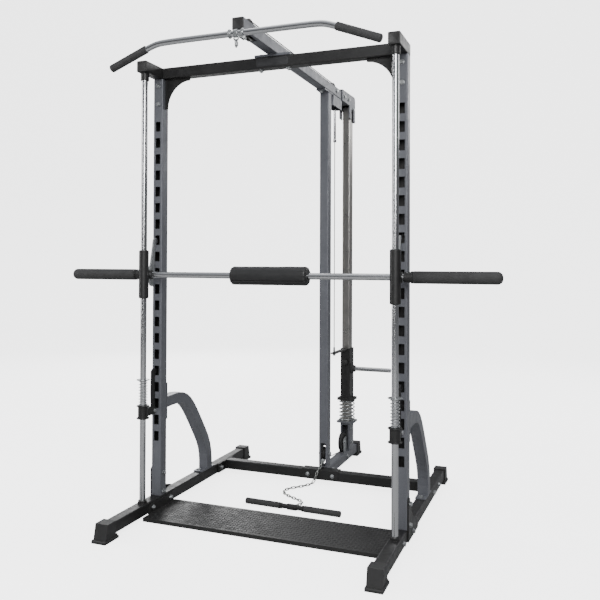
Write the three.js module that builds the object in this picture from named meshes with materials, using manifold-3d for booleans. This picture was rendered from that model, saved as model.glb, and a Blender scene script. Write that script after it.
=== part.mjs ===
// Smith machine with a plate-loaded pulldown tower. Millimetres, +Z up, +Y towards the tower.
// Y = 0 is the front face of the uprights until place() moves everything so that the footprint is centred.

import * as THREE from "three";
import { mergeVertices } from "three/addons/utils/BufferGeometryUtils.js";
import Module from "manifold-3d";

const wasm = await Module();
wasm.setup();
const { Manifold, Mesh } = wasm;

// Driving dimensions
const GAP = 0.3; // between pieces that touch
const TUBE = 50; // side of every square tube
const WALL = 3;
const SIDE_X = 581; // centre of the uprights, rails and rods
const RAIL_Z = [20, 70];
const ARM_Z = [2018.3, 2068.3];
const BEAM_Z = [2078, 2128];
const FRONT_Y = -430; // toe of the front feet
const RAIL_BACK_Y = 975; // heel of the rail feet
const TOWER_BACK_Y = 1332; // heel of the tower's foot
const CENTRE_Y = (FRONT_Y + TOWER_BACK_Y) / 2;
const CROSS_Y = 656; // front face of the rear crossmember
const TOWER_Y = 706.3; // front face of the tower's upright

const SLOT = { width: 25, height: 45, first: 346.7, pitch: 76.2, count: 20 };
const ROD = { y: -111, radius: 14, from: 76.6, to: 2011.7 };
const BAR = { y: -78, z: 1101, radius: 14, half: 972 };
const SLEEVE = { radius: 25, from: 647, to: 990 };
const HOUSING = { radius: 22, from: 996, to: 1210 };
const PAD = { radius: 41.5, half: 177 };
const STOP = { from: 450, to: 510, pivotY: -30, pivotZ: 472 };
const LAT = { y: -354, z: 2060, radius: 12.5, bend: 364, tip: 582, drop: 84, clip: 17, grip: 499 };
const COLUMN = { x: 22, y: [1100, 1165], z: [218.3, 2070] };
const COLUMN_Y = (COLUMN.y[0] + COLUMN.y[1]) / 2;
const SEAT_Z = 236; // top of the bumper's seat
const CARRIAGE_Z = [370, 660];
const CABLE = 2.5; // radius
const SLACK = 2.2; // between a cable and the bottom of its groove
const ROW = { x: 10, y: 235, z: 15, half: 240, turn: -0.033 };

const PULLEYS = {
  front_pulley: { y: -240, z: 2108, radius: 45, groove: 38 },
  rear_pulley: { y: 845, z: 2108, radius: 45, groove: 38 },
  low_front_pulley: { y: 738, z: 140, radius: 35, groove: 29 },
  low_rear_pulley: { y: 1038, z: 132, radius: 52, groove: 46 },
};
const AXLE = 5;
const FRONT_DROP_Y = PULLEYS.front_pulley.y - PULLEYS.front_pulley.groove - CABLE - SLACK;
const REAR_DROP_Y = PULLEYS.rear_pulley.y + PULLEYS.rear_pulley.groove + CABLE + SLACK;

// Materials
const paint = (color, roughness = 0.45) =>
  new THREE.MeshStandardMaterial({ color, roughness, metalness: 0.3 });
const GREY = () => paint(0x6a6c70);
const BLACK = () => paint(0x1c1c1e, 0.5);
const CHROME = () => new THREE.MeshStandardMaterial({ color: 0xd4d6d8, roughness: 0.12, metalness: 1 });
const ZINC = () => new THREE.MeshStandardMaterial({ color: 0xb9bcba, roughness: 0.35, metalness: 0.9 });
const RUBBER = () => new THREE.MeshStandardMaterial({ color: 0x202021, roughness: 0.85, metalness: 0 });
const PLASTIC = () => new THREE.MeshStandardMaterial({ color: 0x1f1f20, roughness: 0.6, metalness: 0 });
const VINYL = () => new THREE.MeshStandardMaterial({ color: 0x161617, roughness: 0.5, metalness: 0 });

// Shapes
function weld(geometry) {
  const bare = geometry.clone();
  bare.deleteAttribute("normal");
  bare.deleteAttribute("uv");
  const merged = mergeVertices(bare, 1e-4);
  const kept = [];
  const index = merged.index.array;
  for (let i = 0; i < index.length; i += 3) {
    const [a, b, c] = [index[i], index[i + 1], index[i + 2]];
    if (a !== b && b !== c && c !== a) kept.push(a, b, c);
  }
  merged.setIndex(kept);
  return merged;
}

function toSolid(geometry) {
  const welded = weld(geometry);
  const mesh = new Mesh({
    numProp: 3,
    vertProperties: Float32Array.from(welded.attributes.position.array),
    triVerts: Uint32Array.from(welded.index.array),
  });
  return new Manifold(mesh);
}

function toGeometry(solid) {
  const mesh = solid.getMesh();
  const geometry = new THREE.BufferGeometry();
  geometry.setAttribute("position", new THREE.BufferAttribute(mesh.vertProperties, 3));
  geometry.setIndex(new THREE.BufferAttribute(mesh.triVerts, 1));
  return geometry;
}

const join = (...parts) => toGeometry(Manifold.union(parts.map(toSolid)));
const cut = (part, ...tools) => toGeometry(toSolid(part).subtract(Manifold.union(tools.map(toSolid))));

// The outline's two coordinates are the plane's two letters; it is extruded along the third axis.
const PLANES = {
  xy: (from) => new THREE.Matrix4().makeTranslation(0, 0, from),
  yz: (from) =>
    new THREE.Matrix4()
      .makeBasis(new THREE.Vector3(0, 1, 0), new THREE.Vector3(0, 0, 1), new THREE.Vector3(1, 0, 0))
      .setPosition(from, 0, 0),
  xz: (from, to) =>
    new THREE.Matrix4()
      .makeBasis(new THREE.Vector3(1, 0, 0), new THREE.Vector3(0, 0, 1), new THREE.Vector3(0, -1, 0))
      .setPosition(0, to, 0),
};

function slab(plane, outline, [from, to], holes = []) {
  const shape = new THREE.Shape(outline);
  shape.holes = holes.map((hole) => new THREE.Path(hole));
  const geometry = new THREE.ExtrudeGeometry(shape, { depth: to - from, bevelEnabled: false });
  return geometry.applyMatrix4(PLANES[plane](from, to));
}

const points = (list) => list.map(([u, v]) => new THREE.Vector2(u, v));
const poly = (plane, list, span, holes = []) => slab(plane, points(list), span, holes);

function circle(u, v, radius, sides = 16) {
  const angles = Array.from({ length: sides }, (_, i) => (2 * Math.PI * (i + 0.5)) / sides);
  return angles.map((a) => new THREE.Vector2(u + radius * Math.cos(a), v + radius * Math.sin(a)));
}

function rounded(u0, u1, v0, v1, r = 4) {
  const corners = [
    [u1 - r, v1 - r, 0],
    [u0 + r, v1 - r, 1],
    [u0 + r, v0 + r, 2],
    [u1 - r, v0 + r, 3],
  ];
  return corners.flatMap(([u, v, quarter]) =>
    [0, 0.5, 1].map((t) => {
      const a = ((quarter + t) * Math.PI) / 2;
      return new THREE.Vector2(u + r * Math.cos(a), v + r * Math.sin(a));
    }),
  );
}

const square = (u0, u1, v0, v1) => points([[u0, v0], [u1, v0], [u1, v1], [u0, v1]]);

function box([x0, x1], [y0, y1], [z0, z1]) {
  return slab("xy", square(x0, x1, y0, y1), [z0, z1]);
}

function hollow(plane, u, v, span, wall = WALL) {
  const hole = square(u[0] + wall, u[1] - wall, v[0] + wall, v[1] - wall);
  return slab(plane, rounded(u[0], u[1], v[0], v[1]), span, [hole]);
}

const disc = (plane, u, v, radius, span, sides = 16) => slab(plane, circle(u, v, radius, sides), span);

function pipe(plane, u, v, outer, inner, span, sides = 16) {
  return slab(plane, circle(u, v, outer, sides), span, [circle(u, v, inner, sides)]);
}

// A profile of [radius, height] pairs, anticlockwise, turned about Z
function turned(profile, sides = 16) {
  const closed = profile[0][0] === 0 ? profile : [...profile, profile[0]];
  return new THREE.LatheGeometry(points(closed), sides).rotateX(Math.PI / 2);
}

const alongX = (geometry) => geometry.rotateY(Math.PI / 2);

// A round bar of 8 to 16 sides along a curve
function swept(curve, radius, steps, sides = 8, inner = 0) {
  const shape = new THREE.Shape(circle(0, 0, radius, sides));
  if (inner) shape.holes = [new THREE.Path(circle(0, 0, inner, sides))];
  return new THREE.ExtrudeGeometry(shape, { steps, extrudePath: curve, bevelEnabled: false });
}

const smooth = (list) =>
  new THREE.CatmullRomCurve3(list.map((p) => new THREE.Vector3(...p)), false, "centripetal");

class Helix extends THREE.Curve {
  constructor(x, y, z0, z1, radius, turns) {
    super();
    Object.assign(this, { x, y, z0, z1, radius, turns });
  }

  getPoint(t, target = new THREE.Vector3()) {
    const a = 2 * Math.PI * this.turns * t;
    const z = this.z0 + (this.z1 - this.z0) * t;
    return target.set(this.x + this.radius * Math.cos(a), this.y + this.radius * Math.sin(a), z);
  }
}

// The scene graph
const group = new THREE.Group();

function add(name, geometry, material) {
  const mesh = new THREE.Mesh(weld(geometry), material);
  mesh.name = name;
  mesh.position.y = -CENTRE_Y;
  group.add(mesh);
}

const SIDES = { left: -1, right: 1 };
const span = (sign, a, b) => (sign > 0 ? [a, b] : [-b, -a]);
const tubeX = (sign) => [sign * SIDE_X - TUBE / 2, sign * SIDE_X + TUBE / 2];

// Base
function foot(x, mirror) {
  const y = (v) => (mirror === undefined ? v : mirror - v);
  const outline = [[-424, 0], [-340, 0], [-340, 19], [-352, 19], [-352, 76], [-408, 76]];
  const body = poly("yz", outline.map(([u, v]) => [y(u), v]), [x - 30.5, x + 30.5]);
  const sole = [[-430, 0], [-335, 0], [-335, 9], [-339, 13], [-426, 13], [-430, 9]];
  const flange = poly("yz", sole.map(([u, v]) => [y(u), v]), [x - 34, x + 34]);
  const reach = [y(-400), y(-300)].sort((a, b) => a - b);
  const pocket = box([x - 25.3, x + 25.3], reach, [RAIL_Z[0] - GAP, RAIL_Z[1] + GAP]);
  return cut(join(body, flange), pocket);
}

function baseRail(sign) {
  const [x0, x1] = tubeX(sign);
  const tube = hollow("xz", [x0, x1], RAIL_Z, [FRONT_Y + 30.3, RAIL_BACK_Y - 30.3]);
  const cup = turned([[0, -1], [20, -1], [20, 11], [18, 14], [14.4, 14], [14.4, 6.3], [0, 6.3]]);
  return join(tube, cup.translate(sign * SIDE_X, ROD.y, RAIL_Z[1]));
}

function crossmember() {
  const end = SIDE_X - TUBE / 2 - GAP;
  const tube = hollow("yz", [CROSS_Y, CROSS_Y + TUBE], RAIL_Z, [-end, end]);
  const plates = Object.values(SIDES).map((sign) =>
    slab("yz", rounded(CROSS_Y - 90, CROSS_Y + 100, RAIL_Z[0], RAIL_Z[1], 6), span(sign, end - 6, end)),
  );
  const inside = [WALL, TUBE - WALL];
  const bore = box([-SIDE_X, SIDE_X], inside.map((v) => CROSS_Y + v), inside.map((v) => RAIL_Z[0] + v));
  return cut(join(tube, ...plates), bore);
}

function treadPlate() {
  const end = SIDE_X - TUBE / 2 - GAP;
  const [y0, y1] = [-146, 125];
  const top = box([-end, end], [y0, y1], [15, 18]);
  const skirts = [y0, y1 - 3].map((y) => box([-end, end], [y, y + 3], [1, 15]));
  const flanges = Object.values(SIDES).map((sign) =>
    poly("yz", [[-105, 15], [115, 15], [105, 60], [-95, 60]], span(sign, end - 3, end)),
  );
  return join(top, ...skirts, ...flanges);
}

for (const [side, sign] of Object.entries(SIDES)) {
  add(`base_rail_${side}`, baseRail(sign), BLACK());
  add(`front_foot_${side}`, foot(sign * SIDE_X), PLASTIC());
  add(`rear_foot_${side}`, foot(sign * SIDE_X, FRONT_Y + RAIL_BACK_Y), PLASTIC());
}
add("tower_foot", foot(0, FRONT_Y + TOWER_BACK_Y), PLASTIC());
add("crossmember", crossmember(), BLACK());
add("tread_plate", treadPlate(), BLACK());

// Uprights, their gussets and the braces behind them
function upright(sign) {
  const tube = hollow("xy", tubeX(sign), [0, TUBE], [RAIL_Z[1] + GAP, ARM_Z[0] - GAP]);
  const x = [sign * SIDE_X - SLOT.width / 2, sign * SIDE_X + SLOT.width / 2];
  const slots = Array.from({ length: SLOT.count }, (_, i) => {
    const z = SLOT.first + i * SLOT.pitch;
    return box(x, [-1, TUBE / 2], [z - SLOT.height / 2, z + SLOT.height / 2]);
  });
  return cut(tube, ...slots);
}

function gusset(sign) {
  const curve = [[138, 80], [96, 98], [60, 128], [38, 162], [30, 192], [22, 198], [9, 198], [2, 190]];
  const outline = [[2, 22], [186, 22], [195, 32], [195, 54], [176, 70], ...curve];
  const outside = SIDE_X + TUBE / 2 + GAP;
  return poly("yz", outline, span(sign, outside, outside + 6));
}

function brace(sign) {
  const centre = new THREE.SplineCurve(
    points([[53, 497], [120, 499], [180, 497], [226, 484], [266, 458], [304, 420], [350, 362], [408, 284],
      [446, 228], [468, 178], [477, 130], [478, 75]]),
  );
  const ends = [[0, -20], [1, 20]];
  const band = (half, extend) => {
    const rows = Array.from({ length: 15 }, (_, i) => i / 14).map((t) => {
      const along = centre.getTangent(t);
      const stretch = extend ? (ends.find(([at]) => at === t) ?? [0, 0])[1] : 0;
      const p = centre.getPoint(t).addScaledVector(along, stretch);
      const across = new THREE.Vector2(-along.y, along.x).multiplyScalar(half);
      return [p.clone().sub(across), p.clone().add(across)];
    });
    return [...rows.map((r) => r[0]), ...rows.map((r) => r[1]).reverse()];
  };
  const [x0, x1] = tubeX(sign);
  const shell = slab("yz", band(TUBE / 2, false), [x0, x1]);
  const bore = slab("yz", band(TUBE / 2 - WALL, true), [x0 + WALL, x1 - WALL]);
  const back = TUBE + GAP;
  const plate = box([x0, x1], [back, back + 6], [418, 589]);
  const footPlate = box([x0, x1], [396, 530], [RAIL_Z[1] + GAP, RAIL_Z[1] + GAP + 6]);
  const trim = box([x0 - 1, x1 + 1], [0, back], [300, 700]);
  const trimFoot = box([x0 - 1, x1 + 1], [350, 600], [0, RAIL_Z[1] + GAP]);
  return cut(join(shell, plate, footPlate), bore, trim, trimFoot);
}

for (const [side, sign] of Object.entries(SIDES)) {
  add(`upright_${side}`, upright(sign), GREY());
  add(`gusset_${side}`, gusset(sign), BLACK());
  add(`brace_${side}`, brace(sign), GREY());
}

// Guide rods and the top of the frame
function arm(sign) {
  const [x0, x1] = tubeX(sign);
  const tube = hollow("xz", [x0, x1], ARM_Z, [-138, TUBE]);
  const cup = turned([[0, -6.3], [14.4, -6.3], [14.4, -34], [19, -34], [19, 1], [0, 1]]);
  return join(tube, cup.translate(sign * SIDE_X, ROD.y, ARM_Z[0]));
}

function crossbar() {
  const end = SIDE_X - TUBE / 2 - GAP;
  const tube = hollow("yz", [0, TUBE], ARM_Z, [-end, end]);
  const [reach, fall] = [130, 138];
  const arc = Array.from({ length: 9 }, (_, i) => (i / 8) * (Math.PI / 2));
  const web = arc.map((a) => [end - 12 - (reach - 12) * (1 - Math.sin(a)), ARM_Z[0] - 12 - (fall - 12) * (1 - Math.cos(a))]);
  const outline = [[end, ARM_Z[0] + 1], [end - reach, ARM_Z[0] + 1], ...web, [end, ARM_Z[0] - fall]];
  const webs = Object.values(SIDES).map((sign) =>
    poly("xz", outline.map(([x, z]) => [sign * x, z]), [21, 29]),
  );
  return join(tube, ...webs);
}

for (const [side, sign] of Object.entries(SIDES)) {
  add(`guide_rod_${side}`, pipe("xy", sign * SIDE_X, ROD.y, ROD.radius, ROD.radius - 3, [ROD.from, ROD.to]), CHROME());
  add(`top_arm_${side}`, arm(sign), BLACK());
}
add("crossbar", crossbar(), BLACK());

// Pulldown tower
function axleBolt({ y, z }, half) {
  return join(disc("yz", y, z, AXLE, [-half, half], 12), ...[-1, 1].map((sign) =>
    disc("yz", y, z, 9, span(sign, half - 6, half), 6)));
}

function topBeam() {
  const tube = hollow("xz", [-TUBE / 2, TUBE / 2], BEAM_Z, [-341, 1085]);
  const openings = ["front_pulley", "rear_pulley"].map((name) => {
    const { y, radius } = PULLEYS[name];
    return box([-12, 12], [y - radius - 20, y + radius + 10], [BEAM_Z[0] - 20, BEAM_Z[1] + 20]);
  });
  const saddle = box([-85, 85], [0, TUBE], [ARM_Z[1] + GAP, BEAM_Z[0] + 1]);
  const cage = hollow("xy", [-25, 25], [790, 940], [2018, BEAM_Z[0] + 1]);
  const tubeWithSlots = cut(tube, ...openings);
  const axles = ["front_pulley", "rear_pulley"].map((name) => axleBolt(PULLEYS[name], 31));
  return join(tubeWithSlots, saddle, cage, ...axles);
}

function towerUpright() {
  const tube = hollow("xy", [-TUBE / 2, TUBE / 2], [TOWER_Y, TOWER_Y + TUBE], [RAIL_Z[1] + GAP, 2071]);
  const slot = box([-13, 13], [TOWER_Y - 1, TOWER_Y + TUBE + 1], [78, 200]);
  const flange = box([-TUBE / 2, TUBE / 2], [650, 788], [2070, BEAM_Z[0] - GAP]);
  return join(cut(tube, slot), flange, axleBolt(PULLEYS.low_front_pulley, 31));
}

function columnPost() {
  const { x, y } = COLUMN;
  const side = 6;
  const tube = cut(
    box([-x - side, x + side], [y[0] - side, y[1] + side], [RAIL_Z[1] + GAP, SEAT_Z - 7]),
    box([-x - 0.4, x + 0.4], [y[0] - 0.4, y[1] + 0.4], [0, 300]),
    box([-17, 17], [y[0] - 20, y[0] + 5], [78, SEAT_Z - 20]),
  );
  const seat = cut(
    slab("xy", rounded(-52, 52, COLUMN_Y - 52, COLUMN_Y + 52, 16), [SEAT_Z - 8, SEAT_Z]),
    box([-x - 0.4, x + 0.4], [y[0] - 0.4, y[1] + 0.4], [0, 300]),
  );
  return join(tube, seat);
}

function topBracket() {
  const outline = [[930, 2073], [1068, 2073], [1068, 2002], [1180, 1990], [1180, 2122], [1174, 2134],
    [1162, 2140], [930, 2136]];
  const shell = poly("yz", outline, [-31.5, 31.5]);
  const inside = box([-25.4, 25.4], [900, 1174], [1900, 2132]);
  const window = box([-40, 40], [1106, 1150], [1900, 2056]);
  return cut(shell, inside, window);
}

function lowBracket() {
  const { y, z } = PULLEYS.low_rear_pulley;
  const outline = [[y - 18, z], [y - 8, 71], [1093, 71], [1093, 150], [y + 20, z + 26], [y - 8, z + 18]];
  const plates = [-1, 1].map((sign) => poly("yz", outline, span(sign, 11, 14)));
  const base = box([-14, 14], [y - 8, 1093], [RAIL_Z[1] + GAP, 73]);
  return join(...plates, base, axleBolt(PULLEYS.low_rear_pulley, 21));
}

function pulley({ y, z, radius, groove }) {
  const half = 8;
  const profile = [
    [AXLE + 0.4, -half], [radius, -half], [radius, -half + 3], [groove, -2.6], [groove, 2.6],
    [radius, half - 3], [radius, half], [AXLE + 0.4, half],
  ];
  return alongX(turned(profile, 20)).translate(0, y, z);
}

add("top_beam", topBeam(), GREY());
add("tower_upright", towerUpright(), GREY());
add("base_beam", hollow("xz", [-TUBE / 2, TUBE / 2], RAIL_Z, [TOWER_Y, TOWER_BACK_Y - 30.3]), GREY());
add("column_post", columnPost(), GREY());
add("column_bracket", topBracket(), GREY());
add("guide_column", hollow("xy", [-COLUMN.x, COLUMN.x], COLUMN.y, COLUMN.z), CHROME());
add("low_pulley_bracket", lowBracket(), ZINC());
const BUMPER = [SEAT_Z + 3.5, CARRIAGE_Z[0] - 14.8];
add("bumper_spring", swept(new Helix(0, COLUMN_Y, ...BUMPER, 43, 6.5), 3, 65, 5), ZINC());
for (const [name, spec] of Object.entries(PULLEYS)) add(name, pulley(spec), PLASTIC());

// Weight carriage
function carriage() {
  const { x, y } = COLUMN;
  const side = 6;
  const sleeve = box([-x - side, x + side], [y[0] - side, y[1] + side], CARRIAGE_Z);
  const flange = slab("xy", rounded(-50, 50, COLUMN_Y - 50, COLUMN_Y + 50, 16), [CARRIAGE_Z[0] - 11, CARRIAGE_Z[0] + 1]);
  const tab = slab("xy", rounded(-15, 15, 868, y[0], 6), [CARRIAGE_Z[1] - 6, CARRIAGE_Z[1]]);
  const bore = box([-x - 0.5, x + 0.5], [y[0] - 0.5, y[1] + 0.5], [0, 2000]);
  return cut(join(sleeve, flange, tab), bore);
}

const PEG = { z: 540, radius: 12.5, from: COLUMN.x + 6 + GAP, to: 263 };
add("carriage", carriage(), BLACK());
add("plate_peg", disc("yz", COLUMN_Y, PEG.z, PEG.radius, [PEG.from, PEG.to]), CHROME());
add("peg_collar", pipe("yz", COLUMN_Y, PEG.z, 30, PEG.radius + 0.5, [PEG.from, PEG.from + 22]), RUBBER());
add("carriage_knob", alongX(turned([[0, 0], [16, 0], [19, 4], [19, 16], [13, 22], [0, 22]], 16))
  .rotateZ(-Math.PI / 2).translate(0, COLUMN.y[0] - 6 - GAP, 580), PLASTIC());

// Smith bar and its slides
function housing(sign) {
  const { from, to, radius } = HOUSING;
  const barrel = disc("xy", sign * SIDE_X, ROD.y, radius, [from, to]);
  const ears = [[8, 22], [-22, -8]].map(([a, b]) =>
    disc("yz", BAR.y, BAR.z, 21, [sign * SIDE_X + a, sign * SIDE_X + b]),
  );
  const rodBore = disc("xy", sign * SIDE_X, ROD.y, ROD.radius + 0.5, [from - 1, to + 1]);
  const barBore = disc("yz", BAR.y, BAR.z, BAR.radius + 0.5, [sign * SIDE_X - 40, sign * SIDE_X + 40]);
  const ringRoom = disc("yz", BAR.y, BAR.z, 24, [sign * SIDE_X - 8, sign * SIDE_X + 8]);
  const groove = cut(ringRoom, box([-2000, 2000], [-200, -96.3], [0, 2000]));
  return cut(join(barrel, ...ears), rodBore, barBore, groove);
}

function hook(sign) {
  const x = [sign * SIDE_X - 4, sign * SIDE_X + 4];
  const ring = disc("yz", BAR.y, BAR.z, 17.6, x);
  const plate = [[-70, 1090], [-62, 1052], [-44, 1046], [-36, 1060], [-30, 1130], [-24, 1200], [-17, 1242],
    [-10, 1249], [-1.2, 1248], [-1.2, 1262], [-8, 1271], [-22, 1271], [-34, 1262], [-42, 1220], [-58, 1150],
    [-74, 1116]];
  const body = cut(poly("yz", plate, x), disc("yz", BAR.y, BAR.z, BAR.radius + 2, [-2000, 2000]));
  return cut(join(ring, body), disc("yz", BAR.y, BAR.z, BAR.radius + GAP, [-2000, 2000]));
}

function sleeve(sign) {
  const { radius, from, to } = SLEEVE;
  const dome = [0, 1, 2, 3, 4].map((i) => {
    const a = (i / 4) * (Math.PI / 2);
    return [radius - 20 + 20 * Math.cos(a), to - 20 + 20 * Math.sin(a)];
  });
  const bore = BAR.radius + 0.4;
  const profile = [[0, BAR.half + GAP], [bore, BAR.half + GAP], [bore, from], [radius - 2, from],
    [radius, from + 3], ...dome, [0, to]];
  const solid = alongX(turned(profile));
  if (sign < 0) solid.rotateZ(Math.PI);
  return solid.translate(0, BAR.y, BAR.z);
}

function pad() {
  const { radius, half } = PAD;
  const bore = BAR.radius + 0.4;
  const profile = [[bore, -half], [radius - 12, -half], [radius, -half + 9], [radius, half - 9],
    [radius - 12, half], [bore, half]];
  return alongX(turned(profile)).translate(26, BAR.y, BAR.z);
}

add("smith_bar", pipe("yz", BAR.y, BAR.z, BAR.radius, BAR.radius - 3, [-BAR.half, BAR.half]), CHROME());
add("bar_pad", pad(), VINYL());
for (const [side, sign] of Object.entries(SIDES)) {
  add(`housing_${side}`, housing(sign), BLACK());
  add(`bar_sleeve_${side}`, sleeve(sign), RUBBER());
  add(`bar_hook_${side}`, hook(sign), ZINC());
}

// Safety stops on the guide rods
function stopBlock(sign) {
  const { from, to, pivotY, pivotZ } = STOP;
  const x = sign * SIDE_X;
  const spool = turned([[0, from], [28.5, from], [28.5, from + 5], [22.5, from + 5], [22.5, to - 5],
    [28.5, to - 5], [28.5, to], [0, to]]).translate(x, ROD.y, 0);
  const outline = [[ROD.y, from + 6], [-36, from + 6], [-18, pivotZ - 12], [-14, pivotZ], [-20, pivotZ + 14],
    [-36, pivotZ + 20], [ROD.y, pivotZ + 22]];
  const ears = [[5, 10], [-10, -5]].map(([a, b]) => poly("yz", outline, [x + a, x + b]));
  const bolt = join(disc("yz", pivotY, pivotZ, AXLE, [x - 16, x + 16], 12),
    ...[-1, 1].map((end) => disc("yz", pivotY, pivotZ, 8, [x + end * 13 - 3, x + end * 13 + 3], 6)));
  const bore = disc("xy", x, ROD.y, ROD.radius + 0.5, [from - 1, to + 1]);
  return join(cut(join(spool, ...ears), bore), bolt);
}

function latch(sign) {
  const { pivotY, pivotZ } = STOP;
  const x = [sign * SIDE_X - 4, sign * SIDE_X + 4];
  const outline = [[-42, pivotZ - 8], [-32, pivotZ - 15], [-20, pivotZ - 10], [-17, pivotZ + 10], [-20, 560],
    [-20, 634], [-12, 641], [-1.2, 641], [-1.2, 654], [-10, 664], [-34, 664], [-44, 654], [-47, 560]];
  return cut(poly("yz", outline, x), disc("yz", pivotY, pivotZ, AXLE + 0.4, [-2000, 2000]));
}

// The spring and the washer on top of it
function stopSpring(sign) {
  const coil = swept(new Helix(sign * SIDE_X, ROD.y, STOP.to + 2.2, 624.5, 17.8, 9.5), 1.5, 76, 4);
  return join(coil, pipe("xy", sign * SIDE_X, ROD.y, 29, ROD.radius + 0.6, [624, 627]));
}

for (const [side, sign] of Object.entries(SIDES)) {
  add(`stop_block_${side}`, stopBlock(sign), BLACK());
  add(`stop_latch_${side}`, latch(sign), BLACK());
  add(`stop_spring_${side}`, stopSpring(sign), ZINC());
}

// Pulldown bar
class BarPath extends THREE.Curve {
  getPoint(t, target = new THREE.Vector3()) {
    const x = LAT.tip * (2 * t - 1);
    const soft = 26;
    const past = Math.abs(x) - LAT.bend;
    const ramp = (past + Math.sqrt(past * past + soft * soft)) / 2;
    const rest = (-LAT.bend + Math.sqrt(LAT.bend * LAT.bend + soft * soft)) / 2;
    return target.set(x, LAT.y, LAT.z - (LAT.drop / (LAT.tip - LAT.bend)) * (ramp - rest));
  }
}

function latGrip(sign) {
  const slope = Math.atan2(LAT.drop, LAT.tip - LAT.bend);
  const grip = alongX(pipe("xy", 0, 0, 16.5, LAT.radius + 0.8, [-92, 92], 20));
  const z = LAT.z - (LAT.grip - LAT.bend) * Math.tan(slope) - 0.6;
  return grip.rotateY(slope * sign).translate(sign * LAT.grip, LAT.y, z);
}

function latClip() {
  const ring = pipe("yz", LAT.y, LAT.z, LAT.clip, LAT.radius + 0.5, [-8, 8], 20);
  const link = box([-4, 4], [LAT.y + LAT.radius + 2, FRONT_DROP_Y + 5], [LAT.z - 4, LAT.z + 4]);
  return join(ring, link, disc("xy", 0, FRONT_DROP_Y, 4, [LAT.z, LAT.z + LAT.clip + 1], 12));
}

add("lat_bar", swept(new BarPath(), LAT.radius, 24, 12, LAT.radius - 3), CHROME());
for (const [side, sign] of Object.entries(SIDES)) add(`lat_grip_${side}`, latGrip(sign), RUBBER());
add("lat_clip", latClip(), ZINC());

// Cables
function wrap({ y, z, groove }, from, to, steps = 5) {
  const r = groove + CABLE + SLACK;
  return Array.from({ length: steps + 1 }, (_, i) => {
    const a = ((from + ((to - from) * i) / steps) * Math.PI) / 180;
    return [0, y + r * Math.cos(a), z + r * Math.sin(a)];
  });
}

function topCable() {
  const front = wrap(PULLEYS.front_pulley, 180, 90);
  const rear = wrap(PULLEYS.rear_pulley, 90, 0);
  return smooth([...front, [0, 50, front[5][2]], [0, 400, front[5][2]], [0, 700, front[5][2]], ...rear]);
}

function lowCable() {
  const under = wrap(PULLEYS.low_front_pulley, 250, 290, 2);
  const turn = wrap(PULLEYS.low_rear_pulley, 258, 318, 4);
  return smooth([[0, 702, 109.5], ...under, [0, 870, 97], ...turn, [0, 1096, 132], [0, 1112, 160],
    [0, 1120, 200], [0, 1122, 280]]);
}

add("cable_top", swept(topCable(), CABLE, 50, 6), PLASTIC());
add("cable_front", disc("xy", 0, FRONT_DROP_Y, CABLE, [LAT.z + LAT.clip + 1 + GAP, 2107], 8), PLASTIC());
add("cable_rear", disc("xy", 0, REAR_DROP_Y, CABLE, [CARRIAGE_Z[1] + GAP, 2107], 8), PLASTIC());
add("cable_low", swept(lowCable(), CABLE, 40, 6), PLASTIC());

// Row bar on its chain
const CHAIN = [
  [0, 693, 107], [-1, 684, 99], [-3, 673, 87], [-5, 661, 79.5], [-9, 647, 71], [-14, 641, 54], [-19, 639, 36],
  [-25, 635, 19], [-34, 622, 7.2], [-47, 596, 7], [-62, 570, 7], [-84, 544, 7], [-106, 519, 7],
  [-121, 490, 7], [-122, 456, 7], [-106, 426, 7], [-78, 403, 7], [-46, 383, 7], [-15, 366, 7],
  [13, 348, 7], [26, 325, 7], [22, 300, 7.5], [13, 282, 9.5], [10.5, 268, 12],
];
add("chain", swept(smooth(CHAIN), 6, 44), ZINC());

function rowBar() {
  const { half } = ROW;
  const profile = [[0, -half], [11, -half], [14.5, -half + 4], [14.5, -62], [11, -60], [11, -24], [14, -23],
    [14, 23], [11, 24], [11, 60], [14.5, 62], [14.5, half - 4], [11, half], [0, half]];
  const eye = pipe("xy", 0, 20, 11, 5, [-3, 3], 16);
  return join(alongX(turned(profile)), eye).rotateZ(ROW.turn).translate(ROW.x, ROW.y, ROW.z);
}
add("row_bar", rowBar(), PLASTIC());

export default group;
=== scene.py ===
# The Smith machine's looks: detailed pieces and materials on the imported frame. Metres, +Z up.
import math
import random

import bmesh
import bpy
from mathutils import Matrix, Vector, noise

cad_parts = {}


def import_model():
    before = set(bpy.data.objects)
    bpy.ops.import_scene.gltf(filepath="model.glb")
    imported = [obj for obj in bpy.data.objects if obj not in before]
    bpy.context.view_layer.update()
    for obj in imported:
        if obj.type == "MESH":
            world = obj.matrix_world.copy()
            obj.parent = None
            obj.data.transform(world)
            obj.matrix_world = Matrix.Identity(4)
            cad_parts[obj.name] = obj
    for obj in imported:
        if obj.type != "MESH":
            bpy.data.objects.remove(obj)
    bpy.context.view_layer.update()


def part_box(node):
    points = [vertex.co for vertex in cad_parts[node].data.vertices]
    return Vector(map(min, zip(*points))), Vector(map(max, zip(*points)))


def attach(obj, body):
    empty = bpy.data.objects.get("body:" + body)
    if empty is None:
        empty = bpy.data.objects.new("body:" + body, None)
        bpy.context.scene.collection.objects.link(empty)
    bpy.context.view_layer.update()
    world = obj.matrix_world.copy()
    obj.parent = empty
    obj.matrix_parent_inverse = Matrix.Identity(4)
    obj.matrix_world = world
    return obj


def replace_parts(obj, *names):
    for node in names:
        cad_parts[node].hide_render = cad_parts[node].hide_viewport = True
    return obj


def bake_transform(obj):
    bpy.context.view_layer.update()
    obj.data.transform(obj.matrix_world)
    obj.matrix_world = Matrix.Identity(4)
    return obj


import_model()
MM = 0.001
SIDES = {"left": -1, "right": 1}
X, Y, Z = Vector((1, 0, 0)), Vector((0, 1, 0)), Vector((0, 0, 1))


def middle(node):
    lo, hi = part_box(node)
    return (Vector(lo) + Vector(hi)) / 2


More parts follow.
